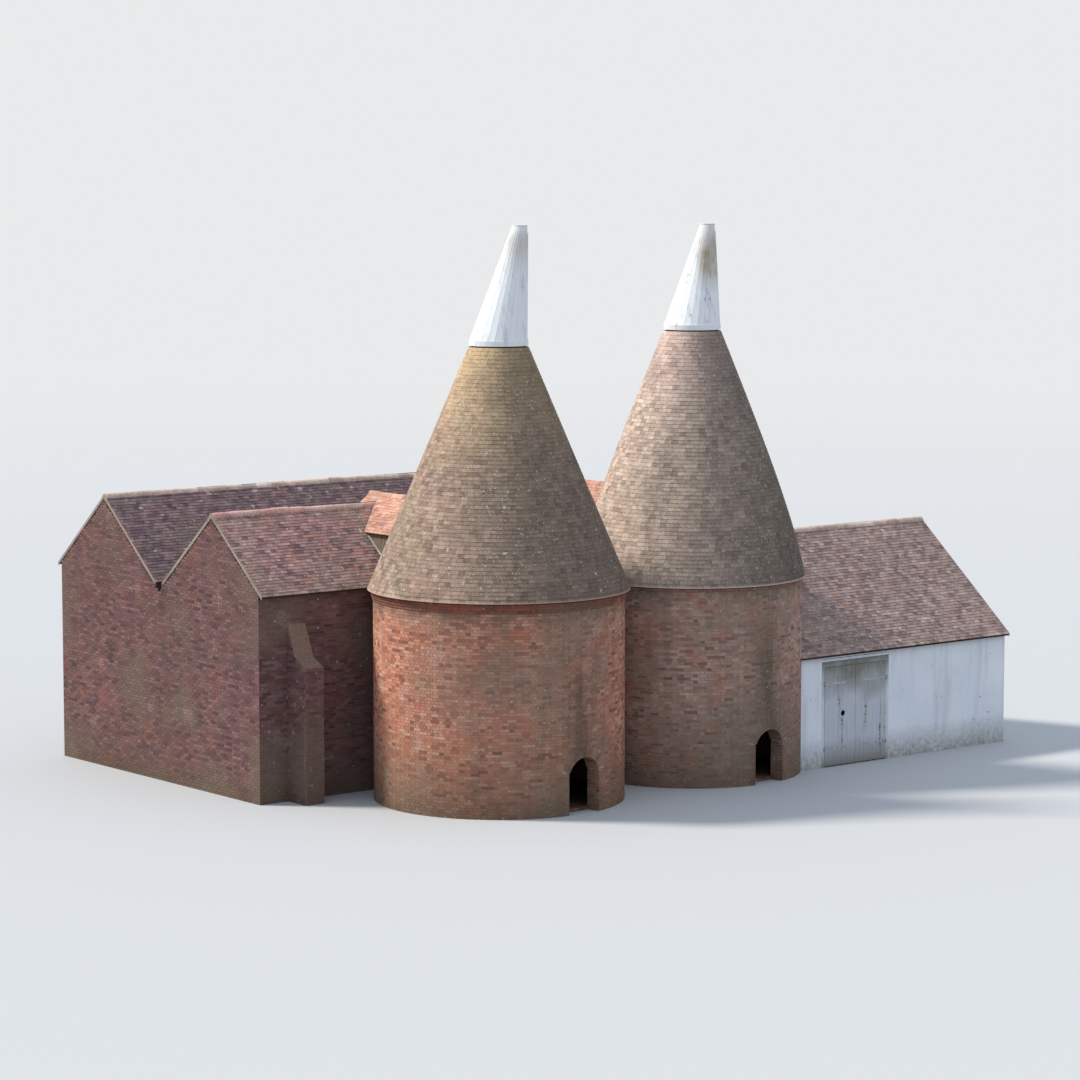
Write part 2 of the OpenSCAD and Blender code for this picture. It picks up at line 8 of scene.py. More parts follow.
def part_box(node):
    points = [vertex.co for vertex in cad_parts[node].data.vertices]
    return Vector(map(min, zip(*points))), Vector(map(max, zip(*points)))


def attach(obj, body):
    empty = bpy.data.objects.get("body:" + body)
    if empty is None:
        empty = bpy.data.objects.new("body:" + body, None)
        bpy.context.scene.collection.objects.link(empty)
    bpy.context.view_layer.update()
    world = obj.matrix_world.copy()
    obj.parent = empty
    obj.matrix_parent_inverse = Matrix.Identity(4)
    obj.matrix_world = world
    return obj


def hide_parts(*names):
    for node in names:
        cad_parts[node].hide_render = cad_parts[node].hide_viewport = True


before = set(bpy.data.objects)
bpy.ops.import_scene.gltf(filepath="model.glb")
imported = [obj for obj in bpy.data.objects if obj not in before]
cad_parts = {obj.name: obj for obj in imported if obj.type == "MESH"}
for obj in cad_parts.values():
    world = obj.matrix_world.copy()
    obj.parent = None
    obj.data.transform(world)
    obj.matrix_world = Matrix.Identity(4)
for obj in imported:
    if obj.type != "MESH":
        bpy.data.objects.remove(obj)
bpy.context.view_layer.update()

# Yard: a wide pale floor that fades into a pale backdrop, and soft light that comes
# low from the left, as on the photographed building. It is not part of the object.


def paint(red, green, blue):
    """A colour as it looks on the screen, from 0 to 255, made ready for a shader."""
    def straight(value):
        value /= 255.0
        return value / 12.92 if value <= 0.04045 else ((value + 0.055) / 1.055) ** 2.4
    return (straight(red), straight(green), straight(blue), 1.0)


def put_in_scene(name, data):
    thing = bpy.data.objects.new(name, data)
    bpy.context.scene.collection.objects.link(thing)
    return thing


def feed(socket, given):
    """Gives a socket a plain value, or joins it to another node's output."""
    if isinstance(given, bpy.types.NodeSocket):
        socket.id_data.links.new(given, socket)
    else:
        socket.default_value = given


def add_node(tree, kind, given=(), **settings):
    """A node with its settings, and what is given to its inputs by label or number."""
    node = tree.nodes.new(kind)
    for setting, value in settings.items():
        setattr(node, setting, value)
    for label, value in dict(given).items():
        feed(node.inputs[label], value)
    return node


def tree_of(given):
    """The node tree that the given outputs belong to."""
    return next(part.id_data for part in given if isinstance(part, bpy.types.NodeSocket))


def reckon(work, *given):
    return add_node(tree_of(given), "ShaderNodeMath", enumerate(given), operation=work).outputs[0]


def rays_of_sight(tree):
    """1 for the rays that show the backdrop: the camera's, and those by way of gloss or glass."""
    path = add_node(tree, "ShaderNodeLightPath").outputs
    either = reckon("MAXIMUM", path["Is Camera Ray"], path["Is Glossy Ray"])
    return reckon("MAXIMUM", either, path["Is Transmission Ray"])


backdrop_colour = paint(233, 234, 235)
yard_radius, yard_sides = 900, 64
yard_mesh = bpy.data.meshes.new("yard")
yard_turns = [2 * math.pi * side / yard_sides for side in range(yard_sides)]
yard_mesh.from_pydata([(yard_radius * math.cos(turn), yard_radius * math.sin(turn), 0)
                       for turn in yard_turns], [], [list(range(yard_sides))])
yard = put_in_scene("yard", yard_mesh)
yard_finish = bpy.data.materials.new("yard")
yard_finish.use_nodes = True
yard_mesh.materials.append(yard_finish)
yard_tree = yard_finish.node_tree
yard_shader = yard_tree.nodes["Principled BSDF"]
yard_sight = rays_of_sight(yard_tree)
yard_seen = add_node(yard_tree, "ShaderNodeMix", {0: yard_sight, 6: paint(146, 145, 142),
                                                  7: paint(192, 192, 191)}, data_type="RGBA")
for label, given in (("Roughness", 0.95), ("Specular IOR Level", 0.1), ("Base Color", yard_seen.outputs[2])):
    feed(yard_shader.inputs[label], given)
yard_spot = add_node(yard_tree, "ShaderNodeTexCoord").outputs["Object"]
yard_far = add_node(yard_tree, "ShaderNodeVectorMath", {0: yard_spot}, operation="LENGTH").outputs["Value"]
yard_fade = add_node(yard_tree, "ShaderNodeMapRange", enumerate((yard_far, 25.0, 170.0, 0.0, 1.0)),
                     interpolation_type="SMOOTHSTEP").outputs[0]
yard_glow = add_node(yard_tree, "ShaderNodeEmission", {"Color": backdrop_colour}).outputs[0]
yard_mix = add_node(yard_tree, "ShaderNodeMixShader", {0: reckon("MULTIPLY", yard_fade, yard_sight),
                                                       1: yard_shader.outputs[0], 2: yard_glow})
feed(yard_tree.nodes["Material Output"].inputs["Surface"], yard_mix.outputs[0])

sun = put_in_scene("sun", bpy.data.lights.new("sun", "SUN"))
sun.data.energy = 3.5
sun.data.angle = math.radians(9)
sun.data.color = (1.0, 0.965, 0.90)
sun.rotation_euler = Vector((-0.495, 0.50, 0.707)).to_track_quat("Z", "Y").to_euler()

sky = bpy.data.worlds.new("sky")
bpy.context.scene.world = sky
sky.use_nodes = True
sky_tree = sky.node_tree
sky_tree.nodes.clear()
sky_light = add_node(sky_tree, "ShaderNodeBackground", {"Color": (0.80, 0.92, 1.12, 1.0), "Strength": 0.78})
sky_seen = add_node(sky_tree, "ShaderNodeBackground", {"Color": backdrop_colour})
sky_mix = add_node(sky_tree, "ShaderNodeMixShader", {0: rays_of_sight(sky_tree), 1: sky_light.outputs[0],
                                                     2: sky_seen.outputs[0]})
add_node(sky_tree, "ShaderNodeOutputWorld", {"Surface": sky_mix.outputs[0]})

camera = put_in_scene("camera", bpy.data.cameras.new("camera"))
camera.data.lens = 116
camera.data.sensor_width = 36
camera.data.clip_end = 2500
camera.location = (-56.33, -69.59, 15.3)
camera_aim = Vector((-3.55, -3.94, 6.1))
camera.rotation_euler = (camera_aim - camera.location).to_track_quat("-Z", "Y").to_euler()
bpy.context.scene.camera = camera
bpy.context.scene.view_settings.view_transform = "Standard"

# Kiln walls: round drums of hand-made orange-red brick in buff lime mortar,
# laid in Flemish bond. The solids behind are the mortar, and each brick is a
# piece of its own that stands a few millimetres proud of it.
kiln_axes = ((-5.115, -4.3142), (1.015, -4.3142))
kiln_radii = (3.02, 2.78)
kiln_eaves = (5.06, 4.92)
kiln_wall = 0.345
corbel_rows, corbel_step = (3, 1), 0.020
course, joint = 0.075, 0.010
brick_long, brick_short, brick_high, brick_deep = 0.215, 0.1025, 0.065, 0.030
brick_proud = 0.006
least_brick, least_course, brick_cover = 0.03, 0.02, 0.25
arch_middle = math.radians(-86)
arch_half_wide, arch_springing, arch_bricks = 0.485, 1.02, 19
arch_centre_z, arch_radius = 0.8644, 0.4856
upright = Vector((0, 0, 1))
pitch = math.radians(40)
front_ridge, back_ridge, range_ridge = (0.3158, 6.81), (5.1858, 6.92), (-3.1442, 5.6942)
stowage_room = ((-10.2, 2.9), (-1.59, 7.26), (0.0, 8.0))
range_roof_room = ((2.0, 10.2), (-6.24, 0.0), (2.98, 8.0))
stain_patches = (1.9, 5.0, 1.15, 0.30, 6.0)
stain_top = 5.04
streaks_above_arches = [axis[0] + radius * math.cos(arch_middle) - 0.15
                        for axis, radius in zip(kiln_axes, kiln_radii)]


def times(first, *others):
    for other in others:
        first = reckon("MULTIPLY", first, other)
    return first


def between(value, low, high, bottom=0.0, top=1.0):
    """Goes evenly from bottom to top as value goes from low to high."""
    return add_node(value.id_data, "ShaderNodeMapRange", enumerate((value, low, high, bottom, top)),
                    clamp=True).outputs[0]


def lay_over(share, under, over, way="MIX"):
    """The colour over laid on the colour under, by a share from 0 to 1."""
    return add_node(tree_of((share, under, over)), "ShaderNodeMix", {0: share, 6: under, 7: over},
                    data_type="RGBA", blend_type=way).outputs[2]


def layered(colour, *layers):
    """One colour after another laid on a first one, each by its own share."""
    for share, over in layers:
        colour = lay_over(share, colour, over)
    return colour


def speckled(colour, speckle):
    grey = add_node(colour.id_data, "ShaderNodeCombineColor", enumerate((speckle, speckle, speckle)))
    return lay_over(1.0, colour, grey.outputs[0], "MULTIPLY")


def spot_of(tree):
    """Where on the object the spot being coloured is."""
    return add_node(tree, "ShaderNodeTexCoord").outputs["Object"]


def parts_of(spot):
    return add_node(spot.id_data, "ShaderNodeSeparateXYZ", {0: spot}).outputs


def noise(spot, scale, **more):
    given = {"Vector": spot, "Scale": scale, **more}
    return add_node(spot.id_data, "ShaderNodeTexNoise", given).outputs[0]


def build_weathering():
    """A group of masks that every finish here uses: patches, grain, lichen spots, streaks and height."""
    tree = bpy.data.node_groups.new("weathering", "ShaderNodeTree")
    for way, labels in (("INPUT", ("Broad Scale", "Fine Scale", "Spot Scale", "Spot Size", "Streak Scale")),
                        ("OUTPUT", ("Broad", "Fine", "Spots", "Streaks", "Height"))):
        for label in labels:
            tree.interface.new_socket(label, in_out=way, socket_type="NodeSocketFloat")
    given = add_node(tree, "NodeGroupInput").outputs
    spot = spot_of(tree)
    fine = noise(spot, given["Fine Scale"], Detail=6, Roughness=0.65)
    cells = add_node(tree, "ShaderNodeTexVoronoi", {"Vector": spot, "Scale": given["Spot Scale"]}).outputs
    luck = add_node(tree, "ShaderNodeSeparateColor", {0: cells["Color"]}).outputs[0]
    spot_edge = times(given["Spot Size"], luck, between(fine, 0.35, 0.65, 0.4, 1.5))
    tall = add_node(tree, "ShaderNodeMapping", {"Vector": spot, "Scale": (1.0, 1.0, 0.10)}).outputs[0]
    add_node(tree, "NodeGroupOutput", {"Broad": noise(spot, given["Broad Scale"], Detail=5), "Fine": fine,
                                       "Spots": reckon("LESS_THAN", cells["Distance"], spot_edge),
                                       "Streaks": noise(tall, given["Streak Scale"], Detail=5),
                                       "Height": parts_of(spot)[2]})
    return tree


weathering = build_weathering()


def weathered(finish, *scales):
    """The masks, from the scales of patches, grain and spots, the size of spots, the scale of streaks."""
    node = add_node(finish.node_tree, "ShaderNodeGroup", node_tree=weathering)
    for socket, scale in zip(node.inputs, scales):
        feed(socket, scale)
    return node.outputs


def start_finish(name, roughness, specular=0.3):
    finish = bpy.data.materials.new(name)
    finish.use_nodes = True
    shader = finish.node_tree.nodes["Principled BSDF"]
    shader.inputs["Roughness"].default_value = roughness
    shader.inputs["Specular IOR Level"].default_value = specular
    return finish


def coat(finish, colour, height, strength, distance):
    """Ends a finish with its colour and its fine relief."""
    shader = finish.node_tree.nodes["Principled BSDF"]
    feed(shader.inputs["Base Color"], colour)
    relief = add_node(finish.node_tree, "ShaderNodeBump", {"Strength": strength, "Distance": distance,
                                                           "Height": height})
    feed(shader.inputs["Normal"], relief.outputs[0])
    return finish


def clay_of_each(finish, clays):
    """A colour for each brick or tile by its own luck, from rows of (luck, red, green, blue)."""
    luck = add_node(finish.node_tree, "ShaderNodeAttribute", attribute_name="shade").outputs["Fac"]
    node = add_node(finish.node_tree, "ShaderNodeValToRGB", {0: luck})
    steps = node.color_ramp.elements
    while len(steps) < len(clays):
        steps.new(0.5)
    for step, (at, *colour) in zip(steps, clays):
        step.position = at
        step.color = paint(*colour)
    return node.outputs[0]


def drum_stains(finish, colour, masks, patches):
    """A dull band that hangs below the corbels, and a damp streak over each arch, on the front only."""
    hem = reckon("ADD", masks["Height"], between(patches["Fine"], 0.3, 0.7, -0.22, 0.22))
    band = times(between(hem, stain_top - 0.60, stain_top - 0.22, 0.0, 0.66),
                 between(masks["Streaks"], 0.38, 0.55, 0.35, 1.0))
    spot = parts_of(spot_of(finish.node_tree))
    aside = 9.0
    for streak_x in streaks_above_arches:
        aside = reckon("MINIMUM", reckon("ABSOLUTE", reckon("SUBTRACT", spot[0], streak_x)), aside)
    aside = reckon("ADD", aside, between(patches["Fine"], 0.3, 0.7, -0.25, 0.25))
    front_only = reckon("LESS_THAN", spot[1], kiln_axes[0][1])
    run = times(between(aside, 0.0, 0.80, 0.66, 0.0), between(masks["Height"], 2.9, 4.4, 1.0, 0.0),
                between(masks["Streaks"], 0.38, 0.58, 0.35, 1.0), front_only)
    return layered(colour, (band, paint(112, 98, 84)), (times(band, masks["Spots"]), paint(206, 204, 190)),
                   (run, paint(92, 80, 64)))


def brick_finish(name, clays, grime, damp_top, streaky, green, washed, red, stained=False):
    """Bricks of mixed firing under red and pale patches, grime, streaks, damp and a little lichen."""
    finish = start_finish(name, 0.92, 0.2)
    masks = weathered(finish, 0.45, 14.0, 5.5, 0.15, 2.6)
    patches = weathered(finish, *stain_patches)
    damp = between(masks["Height"], 0.0, damp_top, 0.84, 0.0)
    colour = layered(
        speckled(clay_of_each(finish, clays), between(masks["Fine"], 0.3, 0.7, 0.86, 1.14)),
        (between(patches["Broad"], 0.50, 0.68, 0.0, red), paint(194, 110, 78)),
        (between(masks["Broad"], 0.42, 0.66, 0.0, 0.58), grime),
        (times(patches["Spots"], between(masks["Fine"], 0.35, 0.55, 0.0, washed)), paint(214, 184, 168)),
        (times(between(masks["Streaks"], 0.52, 0.72), streaky), paint(104, 92, 80)),
        (times(damp, between(masks["Fine"], 0.25, 0.6, 0.5, 1.0)), paint(102, 86, 68)),
        (times(between(masks["Broad"], 0.50, 0.62), green), paint(150, 138, 116)))
    if stained:
        colour = drum_stains(finish, colour, masks, patches)
    colour = lay_over(times(masks["Spots"], 0.5), colour, paint(214, 200, 184))
    return coat(finish, colour, masks["Fine"], 0.55, 0.006)


def mortar_finish(name, bed, dirt, stained=False):
    """Lime mortar that is dirty in its grain, in broad patches and near the ground."""
    finish = start_finish(name, 0.96, 0.15)
    masks = weathered(finish, 0.6, 18.0, 6.0, 0.1, 3.0)
    colour = layered(bed, (between(masks["Fine"], 0.35, 0.7), dirt),
                     (between(masks["Broad"], 0.5, 0.75, 0.0, 0.5), paint(88, 76, 62)),
                     (between(masks["Height"], 0.0, 0.7, 0.6, 0.0), paint(84, 74, 56)))
    if stained:
        colour = drum_stains(finish, colour, masks, weathered(finish, *stain_patches))
    return coat(finish, colour, masks["Fine"], 0.6, 0.004)


def finish_nodes(finish, *names):
    """Gives a CAD node's own solid its finish."""
    for name in names:
        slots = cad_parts[name].data.materials
        if len(slots) == 0:
            slots.append(finish)
        for number in range(len(slots)):
            slots[number] = finish


def build_laying_tree(name, rounded):
    """Lays one brick or tile on every place, turned and cut as the place says; rounded is for ridge tiles."""
    tree = bpy.data.node_groups.new(name, "GeometryNodeTree")
    sizes = ("Radius", "Length") if rounded else ("Width", "Length", "Thickness")
    for label, kind in (("Places", "Geometry"), *((size, "Float") for size in sizes), ("Loose Turn", "Float"),
                        ("Loose Lift", "Float"), ("Seed", "Int"), ("Finish", "Material")):
        tree.interface.new_socket(label, in_out="INPUT", socket_type="NodeSocket" + kind)
    tree.interface.new_socket("Laid", in_out="OUTPUT", socket_type="NodeSocketGeometry")
    given = add_node(tree, "NodeGroupInput").outputs
    seed = given["Seed"]

    def luck(seed):
        return add_node(tree, "FunctionNodeRandomValue", {"Seed": seed}, data_type="FLOAT").outputs[1]

    def scaled(way, by):
        return add_node(tree, "ShaderNodeVectorMath", {0: way, "Scale": by}, operation="SCALE").outputs[0]

    turn, fit = (add_node(tree, "GeometryNodeInputNamedAttribute", {"Name": label},
                          data_type="FLOAT_VECTOR").outputs["Attribute"] for label in ("turn", "fit"))
    wobble = add_node(tree, "FunctionNodeRandomValue", {0: (-1, -1, -1), 1: (1, 1, 1), "Seed": seed},
                      data_type="FLOAT_VECTOR").outputs[0]
    if rounded:
        bar = add_node(tree, "GeometryNodeMeshCylinder", {"Vertices": 18, "Radius": given["Radius"],
                                                          "Depth": given["Length"]}).outputs["Mesh"]
        body = add_node(tree, "GeometryNodeTransform", {0: bar, "Rotation": (0, math.radians(90), 0)})
        lift, shade = scaled(wobble, given["Loose Lift"]), luck(seed)
    else:
        body = add_node(tree, "GeometryNodeMeshCube")
        size = add_node(tree, "ShaderNodeCombineXYZ", enumerate(given[label] for label in sizes)).outputs[0]
        fit = add_node(tree, "ShaderNodeVectorMath", {0: size, 1: fit}, operation="MULTIPLY").outputs[0]
        rise = times(luck(seed), given["Loose Lift"])
        lift = add_node(tree, "ShaderNodeCombineXYZ", {2: rise}).outputs[0]
        shade = luck(reckon("ADD", seed, 7))
    laid = add_node(tree, "GeometryNodeInstanceOnPoints", {
        "Points": given["Places"], "Instance": body.outputs[0], "Rotation": turn, "Scale": fit}).outputs[0]
    for kind, values, settings in (
            ("GeometryNodeRotateInstances", {"Rotation": scaled(wobble, given["Loose Turn"])}, {}),
            ("GeometryNodeTranslateInstances", {"Translation": lift}, {}),
            ("GeometryNodeStoreNamedAttribute", {"Name": "shade", "Value": shade},
             {"data_type": "FLOAT", "domain": "INSTANCE"}),
            ("GeometryNodeRealizeInstances", {}, {}),
            ("GeometryNodeSetMaterial", {"Material": given["Finish"]}, {})):
        laid = add_node(tree, kind, {0: laid, **values}, **settings).outputs[0]
    add_node(tree, "NodeGroupOutput", {"Laid": laid})
    return tree


def settled(thing):
    """The thing's shape as its modifiers or its thickness leave it, as a plain mesh."""
    return bpy.data.meshes.new_from_object(thing.evaluated_get(bpy.context.evaluated_depsgraph_get()))


def make_piece(name, tree, places, values):
    """Runs a Geometry Nodes tree on a guide mesh and leaves its result as a plain mesh."""
    guide = bpy.data.meshes.new(name + " guide")
    guide.from_pydata([place[0] for place in places], [], [])
    for label, number in (("turn", 1), ("fit", 2)):
        mark = guide.attributes.new(label, "FLOAT_VECTOR", "POINT")
        mark.data.foreach_set("vector", [part for place in places for part in place[number]])
    piece = put_in_scene(name, guide)
    work = piece.modifiers.new("laying", "NODES")
    work.node_group = tree
    for item in tree.interface.items_tree:
        if item.in_out == "INPUT" and item.name in values:
            work[item.identifier] = values[item.name]
    made = settled(piece)
    piece.modifiers.remove(work)
    piece.data = made
    made.name = name
    bpy.data.meshes.remove(guide)
    return piece


def place(middle, along, up, out, fit=(1.0, 1.0, 1.0)):
    """One place for the laying tree: along, up and out are the piece's own directions."""
    return (tuple(middle), tuple(Matrix((along, up, out)).transposed().to_euler()), fit)


def round_about(angle):
    """The level ways outwards and sideways at an angle about a kiln's axis."""
    out = Vector((math.cos(angle), math.sin(angle), 0))
    return out, Vector((-out.y, out.x, 0))


def roof_z(ridge, y):
    """Height of a straight roof at y, from its ridge's y and z."""
    return ridge[1] - math.tan(pitch) * abs(y - ridge[0])


def under_straight_roof(point, depth):
    """True where a point is hidden inside the stowage or under the range's roof."""
    for room, ridges in ((stowage_room, (front_ridge, back_ridge)), (range_roof_room, (range_ridge,))):
        if all(low < part < high for part, (low, high) in zip(point, room)):
            return point.z < max(roof_z(ridge, point.y) for ridge in ridges) - depth
    return False


def drum_places(number, corbels):
    """The corbel bricks of one drum, or all those below them, cut round the draught arch."""
    outer_ring = arch_radius + brick_long
    pair = brick_long + brick_short + 2 * joint
    set_back = brick_proud - brick_deep / 2
    places = []
    for row in range(int((kiln_eaves[number] - least_course) / course) + 1):
        top = kiln_eaves[number] - row * course
        low = max(top - course + joint, 0.0)
        middle_z = (top + low) / 2
        steps_out = max(corbel_rows[number] - row, 0)
        if corbels != (steps_out > 0):
            continue
        radius = kiln_radii[number] + steps_out * corbel_step
        clear = 0.0
        if steps_out == 0 and middle_z < arch_springing:
            clear = arch_half_wide + joint
        elif steps_out == 0 and middle_z < arch_centre_z + outer_ring:
            clear = math.sqrt(outer_ring ** 2 - (middle_z - arch_centre_z) ** 2) + joint
        girth = 2 * math.pi * radius
        pairs = round(girth / pair)
        stretch = girth / (pairs * pair)
        for step in range(pairs):
            left = (step + 0.5 * (row % 2)) * pair * stretch
            for length, start in ((brick_long, 0.0), (brick_short, brick_long + joint)):
                a = left + start * stretch
                b = a + length * stretch
                a, b = (a + girth / 2) % girth - girth / 2, (b + girth / 2) % girth - girth / 2
                if b < a:
                    b += girth
                if a < clear and b > -clear and clear > 0:
                    a, b = (a, -clear) if a < -clear else (max(a, clear), b)
                    if b - a < least_brick:
                        continue
                out, along = round_about(arch_middle + (a + b) / 2 / radius)
                middle = Vector((*kiln_axes[number], middle_z)) + out * (radius + set_back)
                if not under_straight_roof(middle, brick_cover):
                    places.append(place(middle, along, upright, out,
                                        ((b - a) / brick_long, (top - low) / brick_high, 1.0)))
    return places


def arch_places(number):
    """The ring of bricks on edge over a draught arch, and the bricks of its two jambs."""
    axis = Vector((*kiln_axes[number], 0))
    radius = kiln_radii[number]
    places = []
    half_turn = math.asin((arch_half_wide - 0.025) / arch_radius)
    ring = arch_radius + brick_long / 2
    for step in range(arch_bricks):
        lean = -half_turn + (step + 0.5) * 2 * half_turn / arch_bricks
        out, side = round_about(arch_middle + ring * math.sin(lean) / radius)
        longways = side * math.sin(lean) + upright * math.cos(lean)
        across = upright * math.sin(lean) - side * math.cos(lean)
        middle = axis + out * (radius - kiln_wall / 2) + upright * (arch_centre_z + ring * math.cos(lean))
        places.append(place(middle, longways, across, out, (1.02, 1.0, (kiln_wall + 0.014) / brick_deep)))
    for way in (-1, 1):
        out, side = round_about(arch_middle + way * math.asin(arch_half_wide / radius))
        face = side * -way
        row = 0
        while (row + 1) * course < arch_springing + 0.02:
            first = brick_long if row % 2 else brick_short
            for a, b in ((0.0, first), (first + joint, kiln_wall)):
                middle = axis + out * (radius - (a + b) / 2) + face * (brick_proud - brick_deep / 2)
                middle.z = row * course + brick_high / 2 + 0.004
                fit = ((b - a) / brick_long, 1.0, 1.0)
                places.append(place(middle, upright.cross(face), upright, face, fit))
            row += 1
    return places


laying_tree = build_laying_tree("lay bricks or tiles", False)
brick_sizes = {"Width": brick_long, "Length": brick_high, "Thickness": brick_deep,
               "Loose Turn": 0.006, "Loose Lift": 0.003}
kiln_clays = (((0.0, 136, 92, 80), (0.12, 172, 115, 95), (0.40, 198, 134, 107), (0.70, 208, 144, 116),
               (0.90, 219, 166, 140), (1.0, 174, 127, 115)),
              ((0.0, 128, 100, 92), (0.12, 158, 126, 113), (0.40, 178, 143, 127), (0.70, 188, 151, 134),
               (0.90, 202, 170, 154), (1.0, 164, 140, 133)))
# The corbel bricks and their mortar are darker than the drums': partly a darker red-brown brick, partly
# painted shade of the eaves above them.
corbel_clays_with_painted_shade = (((0.0, 112, 70, 60), (0.3, 138, 82, 66), (0.7, 158, 94, 74), (1.0, 128, 84, 72)),
                ((0.0, 122, 92, 82), (0.3, 146, 108, 94), (0.7, 160, 120, 104), (1.0, 140, 110, 100)))
kiln_mortar = mortar_finish("kiln mortar", paint(194, 169, 148), paint(157, 135, 118), True)
for number, label in enumerate(("front", "rear")):
    wall_brick = brick_finish(label + " drum brick", kiln_clays[number], paint(134, 111, 98),
                              2.0, 0.32, 0.22, 0.35, 0.42, True)
    corbel_brick_with_painted_shade = brick_finish(label + " corbel brick with painted shade", corbel_clays_with_painted_shade[number], paint(104, 78, 68),
                                0.9, 0.30, 0.15, 0.2, 0.30)
    for kind, places, finish in (("drum", drum_places(number, False) + arch_places(number), wall_brick),
                                 ("corbel", drum_places(number, True), corbel_brick_with_painted_shade)):
        bricks = make_piece(label + "_" + kind + "_bricks", laying_tree, places,
                            dict(brick_sizes, Seed=11 + number, Finish=finish))
        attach(bricks, "building")
finish_nodes(kiln_mortar, "kiln_1_wall_odd", "kiln_1_wall_even", "kiln_2_wall_odd", "kiln_2_wall_even",
             "draught_arches")
finish_nodes(mortar_finish("corbel mortar with painted shade", paint(132, 100, 84), paint(104, 80, 68)), "corbel_bands")

# Kiln floors and the range's floor: worn bricks laid flat, which show through
# the draught arches and the wide doorway.
floor_finish = start_finish("floor brick", 0.9, 0.2)
floor_masks = weathered(floor_finish, 0.8, 12.0, 5.0, 0.1, 3.0)
floor_bricks = add_node(floor_finish.node_tree, "ShaderNodeTexBrick", {
    "Vector": spot_of(floor_finish.node_tree), "Scale": 1.0, "Brick Width": 0.225, "Row Height": 0.1125,
    "Mortar Size": 0.006, "Color1": paint(128, 88, 68), "Color2": paint(98, 72, 58),
    "Mortar": paint(120, 108, 92)}).outputs[0]
floor_dirt = between(floor_masks["Broad"], 0.4, 0.7, 0.0, 0.7)
coat(floor_finish, lay_over(floor_dirt, floor_bricks, paint(82, 70, 58)), floor_masks["Fine"], 0.5, 0.005)
finish_nodes(floor_finish, "brick_floors")

# Cones: plain clay tiles on battens, in rings four inches apart, gone brown
# and grey with lichen. The front cone is golden at its top, the rear one pink.
tile_wide, tile_long, tile_thick = 0.165, 0.150, 0.012
tile_gauge = 0.100
tile_lean = 0.075
cone_foot_out = (0.115, 0.050)
cone_tops = (10.87, 11.07)
cone_top_radius = 0.70
cone_swell = (0.0, 0.145)
cone_tile_edge = 0.050
first_row_drop, first_row_kick, cone_tile_lift = 0.035, 0.010, 0.020
cone_tile_gap, tile_cover = 0.003, 0.30
saddle_room = (0.95, -2.6, 6.0)
shaded_way = (0.79, -0.62)


def cone_radius(number, z):
    """Outer radius of a cone's solid at a height, with the rear cone's gentle swell."""
    foot_z = kiln_eaves[number] + cone_tile_edge
    foot = kiln_radii[number] + cone_foot_out[number]
    share = min(max((z - foot_z) / (cone_tops[number] - foot_z), 0.0), 1.0)
    return foot + (cone_top_radius - foot) * share + cone_swell[number] * math.sin(math.pi * share ** 0.7)


def cone_places(number):
    """Rings of tiles up a cone, but for those hidden by the stowage's roof or inside its saddle."""
    axis_x, axis_y = kiln_axes[number]
    half_room, room_y, room_top = saddle_room
    foot_z = kiln_eaves[number] + cone_tile_edge
    places = []
    z = foot_z - first_row_drop
    row = 0
    while z < cone_tops[number] - 0.03:
        fall = (cone_radius(number, z + 0.06) - cone_radius(number, z - 0.04)) / 0.10
        if row == 0:
            fall = (cone_radius(number, foot_z + 0.2) - cone_radius(number, foot_z)) / 0.2
        slant = math.hypot(1.0, fall)
        long = min(tile_long, (cone_tops[number] - z) * slant)
        radius = cone_radius(number, max(z, foot_z)) + (first_row_kick if row == 0 else 0.0)
        count = round(2 * math.pi * radius / tile_wide)
        wide = 2 * math.pi * radius / count - cone_tile_gap
        for step in range(count):
            level, side = round_about((step + 0.5 * (row % 2)) * 2 * math.pi / count)
            up = (level * fall + upright) / slant
            up = (up - side.cross(up) * tile_lean).normalized()
            out = side.cross(up)
            tail = Vector((axis_x, axis_y, z)) + level * radius + out * cone_tile_lift
            middle = tail + up * long / 2 - out * tile_thick / 2
            in_saddle = abs(middle.x - axis_x) < half_room and middle.y > room_y and middle.z < room_top
            if not in_saddle and not under_straight_roof(middle, tile_cover):
                places.append(place(middle, side, up, out, (wide / tile_wide, long / tile_long, 1.0)))
        z += tile_gauge / slant
        row += 1
    return places


